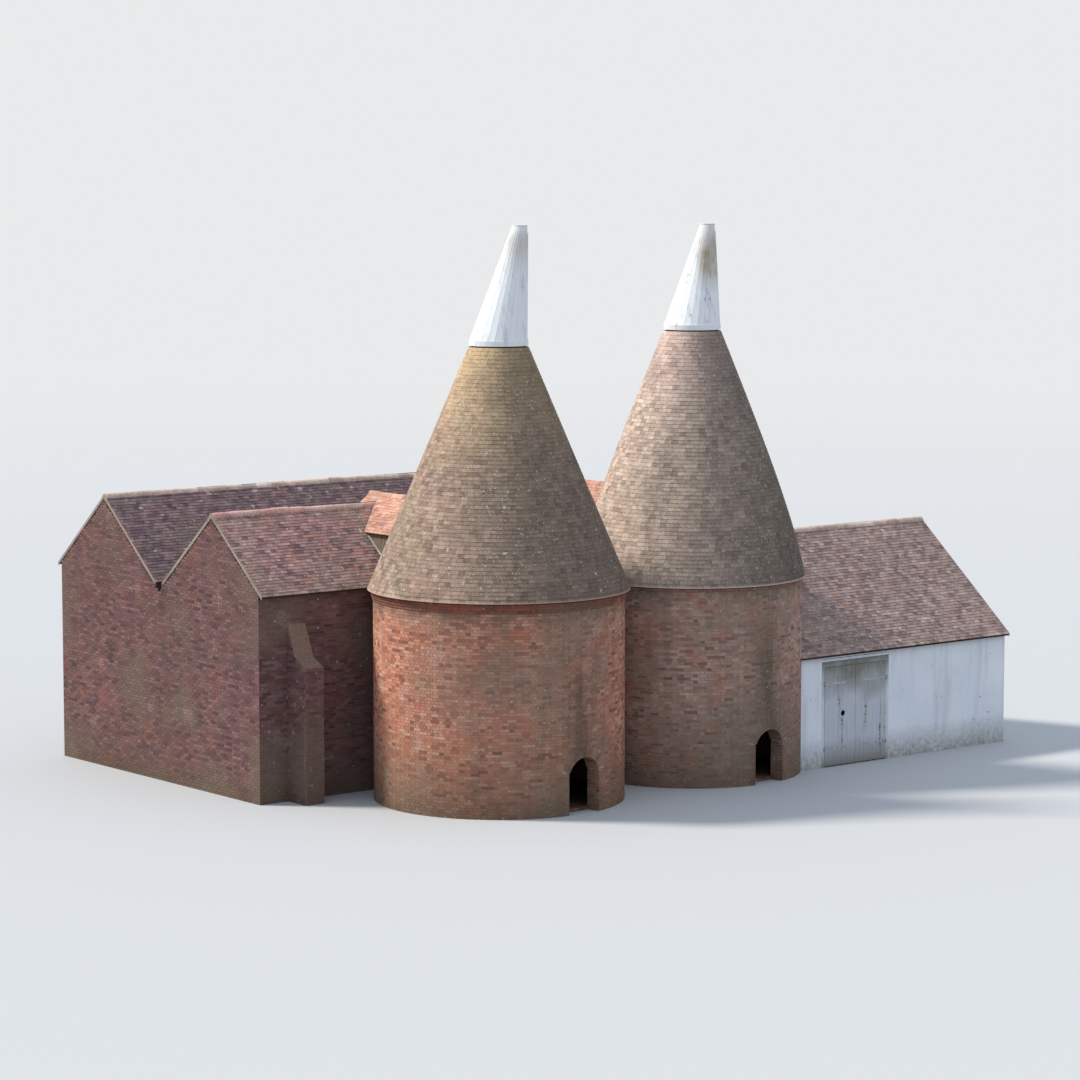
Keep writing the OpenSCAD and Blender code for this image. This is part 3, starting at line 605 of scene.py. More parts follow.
def tile_finish(name, clays, moss, moss_share, lichen, lichen_size, cone=None):
    """Clay tiles of mixed age under moss and lichen.

    cone says what only a cone has: its number, another tint at its top and at its eaves, the heights
    between which the top tint sets in, and how strongly painted shade darkens the side away from the sun."""
    finish = start_finish(name, 0.93, 0.2)
    masks = weathered(finish, 0.7, 7.0, 3.6, lichen_size, 1.6)
    colour = clay_of_each(finish, clays)
    if cone:
        number, top, top_from, top_to, eaves, painted_shade_most = cone
        first_row_z = kiln_eaves[number] + cone_tile_lift
        height = reckon("ADD", masks["Height"], between(masks["Broad"], 0.3, 0.7, -0.7, 0.7))
        colour = lay_over(between(height, top_from, top_to, 0.0, 0.8), colour, lay_over(0.72, colour, top))
    colour = layered(colour, (times(between(masks["Broad"], 0.45, 0.65), moss_share), moss),
                     (between(masks["Streaks"], 0.50, 0.75, 0.0, 0.35), paint(112, 98, 90)))
    # Painted shade: the side of each cone that faces away from the sun is darkened, most towards its foot.
    if cone:
        level = spot_of(finish.node_tree)
        for work, by in (("SUBTRACT", (*kiln_axes[number], 0.0)), ("MULTIPLY", (1.0, 1.0, 0.0)),
                         ("NORMALIZE", (0.0, 0.0, 0.0)), ("DOT_PRODUCT", (*shaded_way, 0.0))):
            node = add_node(finish.node_tree, "ShaderNodeVectorMath", {0: level, 1: by}, operation=work)
            level = node.outputs["Value" if work == "DOT_PRODUCT" else "Vector"]
        painted_shade = times(between(level, -0.65, 0.95, 0.0, painted_shade_most), between(masks["Fine"], 0.3, 0.6, 0.65, 1.0),
                     between(masks["Height"], first_row_z, first_row_z + 3.5, 1.14, 0.95))
        colour = lay_over(painted_shade, colour, paint(88, 78, 69))
    blotch = weathered(finish, 2.4, 19.0, 13.0, 0.3, 5.0)
    colour = layered(speckled(colour, times(between(masks["Fine"], 0.32, 0.68, 0.82, 1.17),
                                            between(blotch["Fine"], 0.32, 0.68, 0.80, 1.20),
                                            between(blotch["Broad"], 0.35, 0.65, 0.90, 1.10))),
                     (times(masks["Spots"], 0.6), lichen),
                     (times(blotch["Spots"], between(masks["Broad"], 0.40, 0.60, 0.05, 0.45)), lichen))
    if cone:
        edge = between(masks["Height"], first_row_z, first_row_z + 0.05, 0.7, 0.0)
        colour = lay_over(edge, colour, eaves)
    return coat(finish, colour, masks["Fine"], 0.5, 0.005)


tile_sizes = {"Width": tile_wide, "Length": tile_long, "Thickness": tile_thick,
              "Loose Turn": 0.016, "Loose Lift": 0.004}
front_cone_tile = tile_finish(
    "front cone tile",
    ((0.0, 131, 109, 95), (0.15, 150, 126, 110), (0.5, 163, 138, 120), (0.8, 171, 145, 127),
     (0.95, 183, 156, 139), (1.0, 170, 129, 111)), paint(138, 127, 102), 0.35, paint(216, 208, 196), 0.13,
    (0, paint(221, 189, 138), 7.9, 10.8, paint(202, 160, 142), 0.70))
rear_cone_tile = tile_finish(
    "rear cone tile",
    ((0.0, 158, 139, 124), (0.15, 180, 158, 142), (0.5, 197, 174, 156), (0.8, 206, 183, 164),
     (0.95, 216, 194, 175), (1.0, 200, 159, 139)), paint(142, 134, 118), 0.30, paint(218, 212, 202), 0.11,
    (1, paint(224, 190, 178), 8.8, 11.2, paint(228, 206, 192), 0.90))
cone_batten = mortar_finish("cone battens", paint(72, 60, 50), paint(52, 44, 38))
for number, label, finish in ((0, "front", front_cone_tile), (1, "rear", rear_cone_tile)):
    tiles = make_piece(label + "_cone_tiles", laying_tree, cone_places(number),
                       dict(tile_sizes, Seed=31 + number, Finish=finish))
    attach(tiles, "building")
finish_nodes(cone_batten, "kiln_1_roof_odd", "kiln_1_roof_even", "kiln_2_roof_odd", "kiln_2_roof_even")

# Curbs and beams: sawn oak on top of each cone, which carries the cowl's post.


def wood_finish(name, light, dark, roughness, squeeze=(14, 14, 1)):
    """Weathered wood, with its grain squeezed across the way that the wood runs."""
    finish = start_finish(name, roughness, 0.25)
    tree = finish.node_tree
    grain = noise(add_node(tree, "ShaderNodeMapping", {"Vector": spot_of(tree), "Scale": squeeze}).outputs[0],
                  2.2, Detail=6)
    masks = weathered(finish, 1.4, 16.0, 5.0, 0.1, 5.0)
    colour = layered(light, (between(grain, 0.35, 0.65), dark),
                     (between(masks["Broad"], 0.45, 0.7, 0.0, 0.4), dark))
    return coat(finish, colour, grain, 0.5, 0.003)


oak = wood_finish("weathered oak", paint(128, 110, 90), paint(82, 68, 54), 0.85)
oak_beam = wood_finish("oak beam", paint(122, 102, 82), paint(78, 64, 50), 0.85, (1, 14, 14))
finish_nodes(oak, "cone_curbs", "cowl_1_post", "cowl_2_post")
finish_nodes(oak_beam, "cowl_beams", "valley_beam")

# Cowls: tapered softwood boards on a round ring, painted white. They lean so
# that the open side stands upright, and a flat painted board shuts the top.
cowl_foot_radius, cowl_top_radius = 0.70, 0.18
cowl_heights = (2.86, 2.62)
cowl_ring_height = 0.125
cowl_turns = (math.radians(-25), math.radians(4))
cowl_board_count, cowl_board_thick = 26, 0.032
groove_half, groove_deep = 0.0045, 0.011
cowl_lean = cowl_foot_radius - cowl_top_radius
mouth_low, mouth_high = 0.06, 0.93
mouth_half_low, mouth_half_high = cowl_foot_radius * 0.50, cowl_top_radius * 0.52


def cowl_paint_finish(name, number, worn_share, stain_share, stain_turn, stain_z):
    """White paint that weather has streaked, thinned to grey wood, and stained near the top."""
    finish = start_finish(name, 0.62, 0.35)
    masks = weathered(finish, 1.3, 11.0, 7.0, 0.12, 9.0)
    worn = times(between(masks["Streaks"], 0.60, 0.66), between(masks["Fine"], 0.48, 0.58), worn_share)
    spot = parts_of(spot_of(finish.node_tree))
    sideways = reckon("ADD", times(reckon("SUBTRACT", spot[0], kiln_axes[number][0]), math.cos(stain_turn)),
                      times(reckon("SUBTRACT", spot[1], kiln_axes[number][1]), math.sin(stain_turn)))
    starts, full, fades, ends = (cone_tops[number] + z for z in stain_z)
    stain = times(between(spot[2], starts, full), between(spot[2], fades, ends, 1.0, 0.25),
                  between(sideways, 0.05, 0.30), between(masks["Broad"], 0.3, 0.55, 0.4, 1.0), stain_share)
    colour = layered(paint(241, 241, 240),
                     (between(masks["Fine"], 0.35, 0.7, 0.0, 0.25), paint(224, 226, 228)),
                     (between(masks["Streaks"], 0.54, 0.72, 0.0, 0.45), paint(194, 198, 202)),
                     (worn, paint(156, 152, 146)), (stain, paint(156, 130, 92)))
    return coat(finish, colour, masks["Streaks"], 0.25, 0.003)


def cowl_shell(number):
    """One shell of boards: each board's edges are eased, so that a groove shows between two."""
    bottom = Vector((0, 0, cowl_ring_height))
    top = Vector((cowl_lean, 0, cowl_heights[number] - 0.028))
    rows = 10
    wide = 2 * math.pi / cowl_board_count
    corners, faces = [], []
    for row in range(rows + 1):
        share = row / rows
        middle = bottom.lerp(top, share)
        radius = cowl_foot_radius - cowl_lean * share
        groove = groove_half / radius
        for inside in (False, True):
            for start in (board * wide for board in range(cowl_board_count)):
                for at, depth in ((start, groove_deep), (start + groove, 0.0), (start + wide - groove, 0.0),
                                  (start + wide - 0.0004, groove_deep)):
                    r = radius - (cowl_board_thick if inside else depth * min(1.0, radius / 0.4))
                    corners.append(middle + Vector((r * math.cos(at), r * math.sin(at), 0)))
    ring_size = cowl_board_count * 4

    def face(*spots):
        faces.append([row * 2 * ring_size + (ring_size if inside else 0) + step % ring_size
                      for row, inside, step in spots])
    for row in range(rows):
        for step in range(ring_size):
            face((row, 0, step), (row, 0, step + 1), (row + 1, 0, step + 1), (row + 1, 0, step))
            face((row, 1, step + 1), (row, 1, step), (row + 1, 1, step), (row + 1, 1, step + 1))
    for step in range(ring_size):
        face((0, 0, step + 1), (0, 0, step), (0, 1, step), (0, 1, step + 1))
        face((rows, 0, step), (rows, 0, step + 1), (rows, 1, step + 1), (rows, 1, step))
    return corners, faces


def prism(outline, carry):
    """Closed solid from an outline of points carried along one way."""
    count = len(outline)
    corners = [Vector(p) for p in outline] + [Vector(p) + Vector(carry) for p in outline]
    faces = [tuple(reversed(range(count))), tuple(range(count, 2 * count))]
    for step in range(count):
        after = (step + 1) % count
        faces.append((step, after, count + after, count + step))
    return corners, faces


def join_solids(name, solids):
    """One mesh from several closed solids, with its faces turned outwards."""
    corners, faces = [], []
    for some_corners, some_faces in solids:
        faces += [tuple(len(corners) + number for number in face) for face in some_faces]
        corners += some_corners
    mesh = bpy.data.meshes.new(name)
    mesh.from_pydata(corners, [], faces)
    mesh.update()
    work = bmesh.new()
    work.from_mesh(mesh)
    bmesh.ops.recalc_face_normals(work, faces=work.faces)
    work.to_mesh(mesh)
    work.free()
    return mesh


def cut_out(mesh, cutter_mesh):
    """The mesh with another solid cut out of it."""
    whole, cutter = put_in_scene("whole", mesh), put_in_scene("cutter", cutter_mesh)
    cut = whole.modifiers.new("cut", "BOOLEAN")
    cut.operation = "DIFFERENCE"
    cut.solver = "EXACT"
    cut.object = cutter
    made = settled(whole)
    for thing in (whole, cutter):
        bpy.data.objects.remove(thing)
    return made


def finished_piece(name, mesh, finish):
    mesh.materials.clear()
    mesh.materials.append(finish)
    return put_in_scene(name, mesh)


def cowl_trim(height, way):
    """The board along one side of a cowl's mouth."""
    y_low, y_high = way * mouth_half_low, way * mouth_half_high
    x_low = math.sqrt(cowl_foot_radius ** 2 - y_low ** 2)
    x_high = cowl_lean + math.sqrt((cowl_top_radius + 0.05) ** 2 - y_high ** 2) - 0.045
    y_low, y_high, z_high = y_low - way * 0.012, y_high - way * 0.008, mouth_high * height
    return prism([(x_low - 0.035, y_low, cowl_ring_height), (x_low + 0.012, y_low, cowl_ring_height),
                  (x_high + 0.012, y_high, z_high), (x_high - 0.035, y_high, z_high)], (0, way * 0.030, 0))


cowl_wear = ((0.25, 0.35, math.radians(-60), (1.7, 2.4, 2.6, 2.8)),
             (0.6, 0.85, math.radians(-40), (0.95, 1.65, 1.95, 2.5)))
for number, label in enumerate(("cowl_1", "cowl_2")):
    height = cowl_heights[number]
    finish = cowl_paint_finish(label + " paint", number, *cowl_wear[number])
    mouth = prism([(cowl_foot_radius * 0.58, y, share * height) for y, share in (
        (-mouth_half_low, mouth_low), (mouth_half_low, mouth_low),
        (mouth_half_high, mouth_high), (-mouth_half_high, mouth_high))], (cowl_foot_radius, 0, 0))
    cap_radius = cowl_top_radius + 0.006
    cap = [(cowl_lean + cap_radius * math.cos(2 * math.pi * step / 40),
            cap_radius * math.sin(2 * math.pi * step / 40), height - 0.030) for step in range(40)]
    standing = (Matrix.Translation((*kiln_axes[number], cone_tops[number] + 0.040))
                @ Matrix.Rotation(cowl_turns[number], 4, "Z"))
    for name, mesh in (
            ("_weatherboards", cut_out(join_solids(label + " boards", [cowl_shell(number)]),
                                       join_solids("mouth cutter", [mouth]))),
            ("_mouth_trim", join_solids(label + " trim", [cowl_trim(height, -1), cowl_trim(height, 1)])),
            ("_cap", join_solids(label + " cap", [prism(cap, (0, 0, 0.026))]))):
        mesh.transform(standing)
        piece = finished_piece(label + name, mesh, finish)
        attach(piece, label)
        if name == "_weatherboards":
            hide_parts(label + "_boards")
    finish_nodes(finish, label + "_ring")

# Stowage walls: the same bricks in stretcher bond, older and darker, with a
# brick buttress at the left. Each face is laid from its corner, course by course.
stowage_left, stowage_right = -10.275, 2.975
stowage_front, stowage_back = -1.6542, 7.2892
roof_thick = 0.170 / math.cos(pitch)
verge_rise = roof_thick - 0.075
edge = 0.0045
buttress_left, buttress_right, buttress_front = -9.455, -8.935, -2.4042
buttress_high, buttress_shoulder, buttress_face_high = 4.3, 3.5, 3.3
buttress_out, buttress_upper_out = stowage_front - buttress_front, 0.34
highest_course = 8.0


def wall_places(corner, along, out, length, height_at, low=0.0, skip=None):
    """Stretchers on a flat face that starts at corner and runs along it, under height_at(distance)."""
    corner, along, out = Vector(corner), Vector(along), Vector(out)
    step_long = brick_long + joint
    places = []
    row = 0
    laid_any = True
    while laid_any and low + row * course < highest_course:
        z0 = low + row * course
        z1 = z0 + brick_high
        laid_any = False
        start = -(step_long / 2) * (row % 2)
        while start < length:
            a, b = max(start, 0.0), min(start + brick_long, length)
            start += step_long
            if b - a < 0.02 or height_at((a + b) / 2) < (z0 + z1) / 2:
                continue
            laid_any = True
            for inset in range(3):
                if height_at(a) < z1 - 0.02 and b - a > 0.06:
                    a += 0.05
                if height_at(b) < z1 - 0.02 and b - a > 0.06:
                    b -= 0.05
            middle = corner + along * (a + b) / 2 + out * (brick_proud - brick_deep / 2)
            middle.z = corner.z + (z0 + z1) / 2
            if skip is None or not skip(middle):
                places.append(place(middle, along, upright, out, ((b - a) / brick_long, 1.0, 1.0)))
        row += 1
    return places


def in_kiln(point, margin):
    for number, (axis_x, axis_y) in enumerate(kiln_axes):
        away = math.hypot(point.x - axis_x, point.y - axis_y)
        if point.z < kiln_eaves[number] and away < kiln_radii[number] + margin:
            return True
        if kiln_eaves[number] <= point.z < cone_tops[number] and away < cone_radius(number, point.z) + margin:
            return True
    return False


def stowage_roof_z(y):
    return max(roof_z(front_ridge, y), roof_z(back_ridge, y)) - roof_thick


def buttress_top(out_from_wall):
    """The buttress slopes steeply to its shoulder, then gently to its face."""
    if out_from_wall < buttress_upper_out:
        return buttress_high - out_from_wall * (buttress_high - buttress_shoulder) / buttress_upper_out
    lower_share = (out_from_wall - buttress_upper_out) / (buttress_out - buttress_upper_out)
    return buttress_shoulder - lower_share * (buttress_shoulder - buttress_face_high)


stowage_length, stowage_depth = stowage_right - stowage_left, stowage_back - stowage_front
stowage_places = []
for face in (((stowage_left - edge, stowage_front, 0), (1, 0, 0), (0, -1, 0), stowage_length + 2 * edge,
              lambda u: stowage_roof_z(stowage_front), 0.0, lambda p: in_kiln(p, 0.0)),
             ((stowage_right + edge, stowage_back, 0), (-1, 0, 0), (0, 1, 0), stowage_length + 2 * edge,
              lambda u: stowage_roof_z(stowage_back)),
             ((stowage_left, stowage_back + edge, 0), (0, -1, 0), (-1, 0, 0), stowage_depth + 2 * edge,
              lambda u: stowage_roof_z(stowage_back - u) + verge_rise),
             ((stowage_right, stowage_front - edge, 0), (0, 1, 0), (1, 0, 0), stowage_depth + 2 * edge,
              lambda u: stowage_roof_z(stowage_front + u) + verge_rise),
             ((buttress_left - edge, buttress_front, 0), (1, 0, 0), (0, -1, 0),
              buttress_right - buttress_left + 2 * edge, lambda u: buttress_face_high),
             ((buttress_left, stowage_front, 0), (0, -1, 0), (-1, 0, 0), buttress_out + edge, buttress_top),
             ((buttress_right, buttress_front - edge, 0), (0, 1, 0), (1, 0, 0), buttress_out + edge,
              lambda u: buttress_top(buttress_out - u))):
    stowage_places += wall_places(*face)
stowage_clays = ((0.0, 86, 62, 64), (0.15, 103, 75, 75), (0.45, 116, 84, 83), (0.7, 126, 91, 89),
                 (0.9, 137, 104, 100), (1.0, 103, 84, 85))
stowage_brick = brick_finish("stowage brick", stowage_clays, paint(100, 80, 72), 0.7, 0.35, 0.2, 0.16, 0.14)
stowage_mortar = mortar_finish("stowage mortar", paint(150, 126, 110), paint(118, 98, 84))
bricks = make_piece("stowage_bricks", laying_tree, stowage_places,
                    dict(brick_sizes, Seed=51, Finish=stowage_brick))
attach(bricks, "building")
finish_nodes(stowage_mortar, "stowage_front_wall", "left_party_wall", "stowage_right_wall",
             "stowage_back_wall", "buttress")

# Straight roofs: the same plain tiles over two parallel roofs and the range.
# The front slopes are mixed red and purple, the back ones darker with lichen.
# Between the two roofs a gutter of sheet lead lies in the valley.
range_left, range_right, range_front, range_back = 1.017, 10.275, -6.3142, 0.0258
valley_y, gutter_half = 2.6852, 0.150
eaves_over = 0.160
slope_tile_lift, slope_tile_gap, least_tile = 0.024, 0.004, 0.03
saddle_half, saddle_ridge_z, saddle_slope = 1.16, 7.01, 0.71
saddle_front_y, saddle_back_y = -3.1142, 0.8658
front_slope = (stowage_front - eaves_over, front_ridge)
valley_slopes = ((valley_y - gutter_half, front_ridge), (valley_y + gutter_half, back_ridge))
back_slope = (stowage_back + eaves_over, back_ridge)
range_slopes = ((range_front - eaves_over, range_ridge), (range_back + eaves_over, range_ridge))


def slope_places(foot_at, side, rise, length, first, spans, skip=None):
    """Tiles on one slope, from a spot at its foot for each middle of a span, and each row's spans."""
    up = rise.normalized()
    out = side.cross(up)
    lean_up = (up - out * tile_lean).normalized()
    lean_out = side.cross(lean_up)
    places = []
    at, row = first, 0
    while at < length - 0.02:
        long = min(tile_long, length - at + 0.03)
        for a, b in spans(row):
            tail = foot_at((a + b) / 2) + up * at + out * slope_tile_lift
            middle = tail + lean_up * long / 2 - lean_out * tile_thick / 2
            if b - a >= least_tile and (skip is None or not skip(middle)):
                places.append(place(middle, side, lean_up, lean_out,
                                    ((b - a - slope_tile_gap) / tile_wide, long / tile_long, 1.0)))
        at += tile_gauge
        row += 1
    return places


def straight_slope(x0, x1, slope, skip=None):
    """Tiles on a slope of a straight roof between two verges, from its foot's y and its ridge."""
    foot_y, ridge = slope
    foot_z = roof_z(ridge, foot_y)
    rise = Vector((0, ridge[0] - foot_y, ridge[1] - foot_z))
    count = round((x1 - x0) / tile_wide)
    wide = (x1 - x0) / count

    def spans(row):
        for step in range(-1, count + 1):
            a = x0 + (step + 0.5 * (row % 2)) * wide
            yield max(a, x0), min(a + wide, x1)
    return slope_places(lambda x: Vector((x, foot_y, foot_z)), Vector((1 if rise.y > 0 else -1, 0, 0)), rise,
                        rise.length, -0.030, spans, skip)


def under_saddle(point):
    return point.y < saddle_back_y - 0.12 and any(
        abs(point.x - axis_x) < saddle_half - 0.12
        and point.z < saddle_ridge_z - saddle_slope * abs(point.x - axis_x) - 0.2 for axis_x, _ in kiln_axes)


def in_cone(point):
    return in_kiln(point, -0.05)


def in_stowage(point):
    return point.x < stowage_right and point.y > stowage_front


stowage_ends, range_ends = (stowage_left, stowage_right), (range_left, range_right)
front_tile = tile_finish(
    "front slope tile",
    ((0.0, 112, 87, 87), (0.15, 137, 106, 104), (0.45, 155, 121, 118), (0.7, 164, 129, 124),
     (0.9, 178, 145, 137), (1.0, 176, 120, 102)), paint(136, 126, 108), 0.4, paint(214, 205, 196), 0.15)
back_tile = tile_finish(
    "back slope tile",
    ((0.0, 91, 74, 77), (0.25, 111, 91, 93), (0.6, 124, 101, 102), (0.9, 139, 115, 116),
     (1.0, 132, 97, 89)), paint(112, 106, 94), 0.4, paint(184, 174, 172), 0.24)
range_tile = tile_finish(
    "range tile",
    ((0.0, 123, 102, 97), (0.2, 145, 121, 114), (0.5, 159, 134, 126), (0.8, 168, 144, 135),
     (0.95, 181, 158, 147), (1.0, 168, 125, 108)), paint(146, 132, 116), 0.3, paint(218, 210, 202), 0.15)
for name, slopes, finish, material_slot, seed in (
        ("front_slope_tiles", ((*stowage_ends, front_slope, lambda p: in_cone(p) or under_saddle(p)),),
         front_tile, "roof_tile", 61),
        ("valley_slope_tiles", ((*stowage_ends, valley_slopes[0], under_saddle),
                                (*stowage_ends, valley_slopes[1])), back_tile, "roof_tile", 62),
        ("back_slope_tiles", ((*stowage_ends, back_slope),), back_tile, "roof_tile", 63),
        ("range_tiles", ((*range_ends, range_slopes[0], lambda p: in_cone(p) or in_stowage(p)),
                         (stowage_right, range_right, range_slopes[1], in_cone)),
         range_tile, "range_tile", 64)):
    places = [spot for slope in slopes for spot in straight_slope(*slope)]
    tiles = make_piece(name, laying_tree, places, dict(tile_sizes, Seed=seed, Finish=finish))
    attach(tiles, "building")
straight_batten = mortar_finish("roof battens", paint(76, 62, 54), paint(54, 46, 40))
finish_nodes(straight_batten, "front_roof_front_slope", "front_roof_back_slope", "back_roof_front_slope",
             "back_roof_back_slope", "range_front_slope", "range_back_slope")

lead = start_finish("weathered lead", 0.6, 0.4)
lead.node_tree.nodes["Principled BSDF"].inputs["Metallic"].default_value = 0.2
lead_masks = weathered(lead, 1.6, 10.0, 5.0, 0.14, 5.0)
lead_colour = layered(paint(132, 136, 140), (between(lead_masks["Broad"], 0.35, 0.65), paint(170, 172, 172)),
                      (between(lead_masks["Streaks"], 0.5, 0.7, 0.0, 0.5), paint(98, 98, 96)))
finish_nodes(coat(lead, lead_colour, lead_masks["Fine"], 0.3, 0.004), "valley_gutter")

# Saddles: newer orange tiles on the little roofs that lead the rain from each
# cone over the front ridge, with dark weatherboards under their eaves.
saddle_eaves_z = saddle_ridge_z - saddle_slope * saddle_half
cheek_board_wide, cheek_gap = 0.15, 0.006
cheek_foot_gap = 0.03


def saddle_spans(row):
    y = saddle_back_y + 0.5 * (row % 2) * tile_wide
    while y > saddle_front_y:
        yield y - tile_wide, min(y, saddle_back_y)
        y -= tile_wide


saddle_places = []
for axis_x, axis_y in kiln_axes:
    for way in (-1, 1):
        saddle_places += slope_places(
            lambda y: Vector((axis_x + way * saddle_half, y, saddle_eaves_z)), Vector((0, way, 0)),
            Vector((-way, 0, saddle_slope)), saddle_half * math.hypot(1, saddle_slope), -0.02, saddle_spans,
            lambda p: in_cone(p) or p.z < roof_z(front_ridge, p.y) - 0.06)
saddle_tile = tile_finish(
    "saddle tile",
    ((0.0, 174, 121, 101), (0.2, 195, 143, 120), (0.6, 206, 157, 135), (0.9, 214, 169, 149),
     (1.0, 190, 134, 113)), paint(150, 122, 98), 0.3, paint(222, 206, 192), 0.10)
tiles = make_piece("saddle_tiles", laying_tree, saddle_places, dict(tile_sizes, Seed=71, Finish=saddle_tile))
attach(tiles, "building")
finish_nodes(straight_batten, "saddle_roofs")

cheek_finish = wood_finish("cheek weatherboard", paint(142, 130, 112), paint(98, 88, 74), 0.9)
cheek_head = saddle_eaves_z - 0.065
cheek_solids = []
for axis_x, axis_y in kiln_axes:
    for way in (-1, 1):
        x = axis_x + way * (saddle_half - 0.060)
        y = stowage_front - 0.3
        while y < saddle_back_y - 0.01:
            after = min(y + cheek_board_wide - cheek_gap, saddle_back_y)
            feet = [roof_z(front_ridge, at) + cheek_foot_gap for at in (y, after)]
            if max(feet) < cheek_head - 0.02 and not in_kiln(Vector((x, y, max(feet[0], 5.2))), 0.02):
                cheek_solids.append(prism([(x, y, feet[0]), (x, after, feet[1]), (x, after, cheek_head),
                                           (x, y, cheek_head)], (way * 0.018, 0, 0)))
            y += cheek_board_wide
    x = axis_x - saddle_half + 0.07
    y = saddle_back_y
    foot = roof_z(front_ridge, y) + cheek_foot_gap
    while x < axis_x + saddle_half - 0.08:
        after = min(x + cheek_board_wide - cheek_gap, axis_x + saddle_half - 0.07)
        heads = [saddle_ridge_z - saddle_slope * abs(at - axis_x) - 0.14 for at in (x, after)]
        if min(heads) > foot + 0.02:
            cheek_solids.append(prism([(x, y, foot), (after, y, foot), (after, y, heads[1]),
                                       (x, y, heads[0])], (0, 0.016, 0)))
        x += cheek_board_wide
cheeks = finished_piece("cheek_weatherboards", join_solids("cheek boards", cheek_solids), cheek_finish)
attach(cheeks, "building")
finish_nodes(cheek_finish, "saddle_cheeks")

# Ridges: half-round clay tiles, eighteen inches long, bedded in lime mortar.
# The old ones are pinkish red and pale with lichen, those on the saddles orange.
ridge_tree = build_laying_tree("lay ridge tiles", True)
ridge_long, ridge_drop, ridge_gap = 0.450, 0.0905, 0.008
meet = (saddle_ridge_z - front_ridge[1]) / saddle_slope + 0.02
kiln_1_x, kiln_2_x = kiln_axes[0][0], kiln_axes[1][0]


def ridge_places(start, end, sag):
    """Ridge tiles end to end between two points, with a slow rise and fall."""
    start, end = Vector(start), Vector(end)
    start.z -= ridge_drop
    end.z -= ridge_drop
    run = end - start
    count = max(round(run.length / ridge_long), 1)
    step = run.length / count
    along = run.normalized()
    places = []
    for number in range(count):
        middle = start + along * step * (number + 0.5)
        middle.z += sag * math.sin(number * 0.55) + 0.4 * sag * math.sin(number * 1.7 + 1.0)
        fit = ((step - ridge_gap) / ridge_long, 1.0, 1.0)
        places.append(place(middle, along, upright.cross(along), upright, fit))
    return places


def straight_ridge(x0, x1, ridge, sag):
    return ridge_places((x0, *ridge), (x1 - 0.004, *ridge), sag)


range_ridge_start = kiln_2_x + math.sqrt(
    cone_radius(1, range_ridge[1]) ** 2 - (range_ridge[0] - kiln_axes[1][1]) ** 2) - 0.02
old_ridges = []
for a, b in ((stowage_left, kiln_1_x - meet), (kiln_1_x + meet, kiln_2_x - meet),
             (kiln_2_x + meet, stowage_right)):
    old_ridges += straight_ridge(a + 0.004, b, front_ridge, 0.016)
pale_ridges = (straight_ridge(stowage_left + 0.004, stowage_right, back_ridge, 0.010)
               + straight_ridge(range_ridge_start, range_right, range_ridge, 0.005))
new_ridges = []
for number, (axis_x, axis_y) in enumerate(kiln_axes):
    new_ridges += ridge_places((axis_x, axis_y + cone_radius(number, saddle_ridge_z) - 0.05, saddle_ridge_z),
                               (axis_x, saddle_back_y - 0.004, saddle_ridge_z), 0.0)
old_ridge_finish = tile_finish(
    "old ridge tile",
    ((0.0, 200, 154, 144), (0.4, 226, 180, 170), (0.8, 236, 198, 188), (1.0, 208, 154, 140)),
    paint(150, 132, 114), 0.3, paint(216, 206, 196), 0.24)
pale_ridge_finish = tile_finish(
    "pale ridge tile", ((0.0, 186, 158, 142), (0.5, 214, 186, 168), (1.0, 226, 202, 184)),
    paint(150, 138, 118), 0.35, paint(222, 214, 204), 0.24)
ridge_sizes = {"Radius": 0.126, "Length": ridge_long, "Loose Turn": 0.010, "Loose Lift": 0.004}
for name, places, finish, material_slot, seed in (
        ("front_ridge_tiles", old_ridges, old_ridge_finish, "ridge_clay", 81),
        ("pale_ridge_tiles", pale_ridges, pale_ridge_finish, "ridge_clay", 82),
        ("saddle_ridge_tiles", new_ridges, saddle_tile, "new_tile", 83)):
    ridges = make_piece(name, ridge_tree, places, dict(ridge_sizes, Seed=seed, Finish=finish))
    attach(ridges, "building")
finish_nodes(mortar_finish("ridge mortar", paint(190, 178, 162), paint(152, 140, 126)), "ridge_tiles")

# Fillets and verges: bands of pale lime mortar that close the joint where a
# straight roof meets a round cone or drum, and the pointing under the end tiles.
fillet_thick, fillet_proud = 0.034, 0.012
verge_high, verge_proud = 0.080, 0.016


def kiln_radius_at(number, z):
    return kiln_radii[number] if z < kiln_eaves[number] + cone_tile_edge else cone_radius(number, z)


def fillet_line(number, ridge, angle_from, angle_to, count):
    """Points where a straight roof meets a kiln, between two angles about its axis."""
    axis_x, axis_y = kiln_axes[number]
    points = []
    for step in range(count + 1):
        level, side = round_about(math.radians(angle_from + (angle_to - angle_from) * step / count))
        low, high = 0.5, 6.0
        for halving in range(40):
            middle = (low + high) / 2
            if middle < kiln_radius_at(number, roof_z(ridge, axis_y + level.y * middle)):
                low = middle
            else:
                high = middle
        z = roof_z(ridge, axis_y + level.y * low)
        points.append(Vector((axis_x, axis_y, z + fillet_proud)) + level * (low + fillet_proud))
    return points


def bead(name, lines, thick, finish):
    """A round bead along each line of points, as one closed mesh."""
    curve = bpy.data.curves.new(name, "CURVE")
    curve.dimensions = "3D"
    curve.bevel_depth = thick
    curve.bevel_resolution = 2
    curve.use_fill_caps = True
    for line in lines:
        spline = curve.splines.new("POLY")
        spline.points.add(len(line) - 1)
        for point, spot in zip(spline.points, line):
            point.co = (*spot, 1.0)
    rough = put_in_scene(name, curve)
    mesh = settled(rough)
    bpy.data.objects.remove(rough)
    return finished_piece(name, mesh, finish)


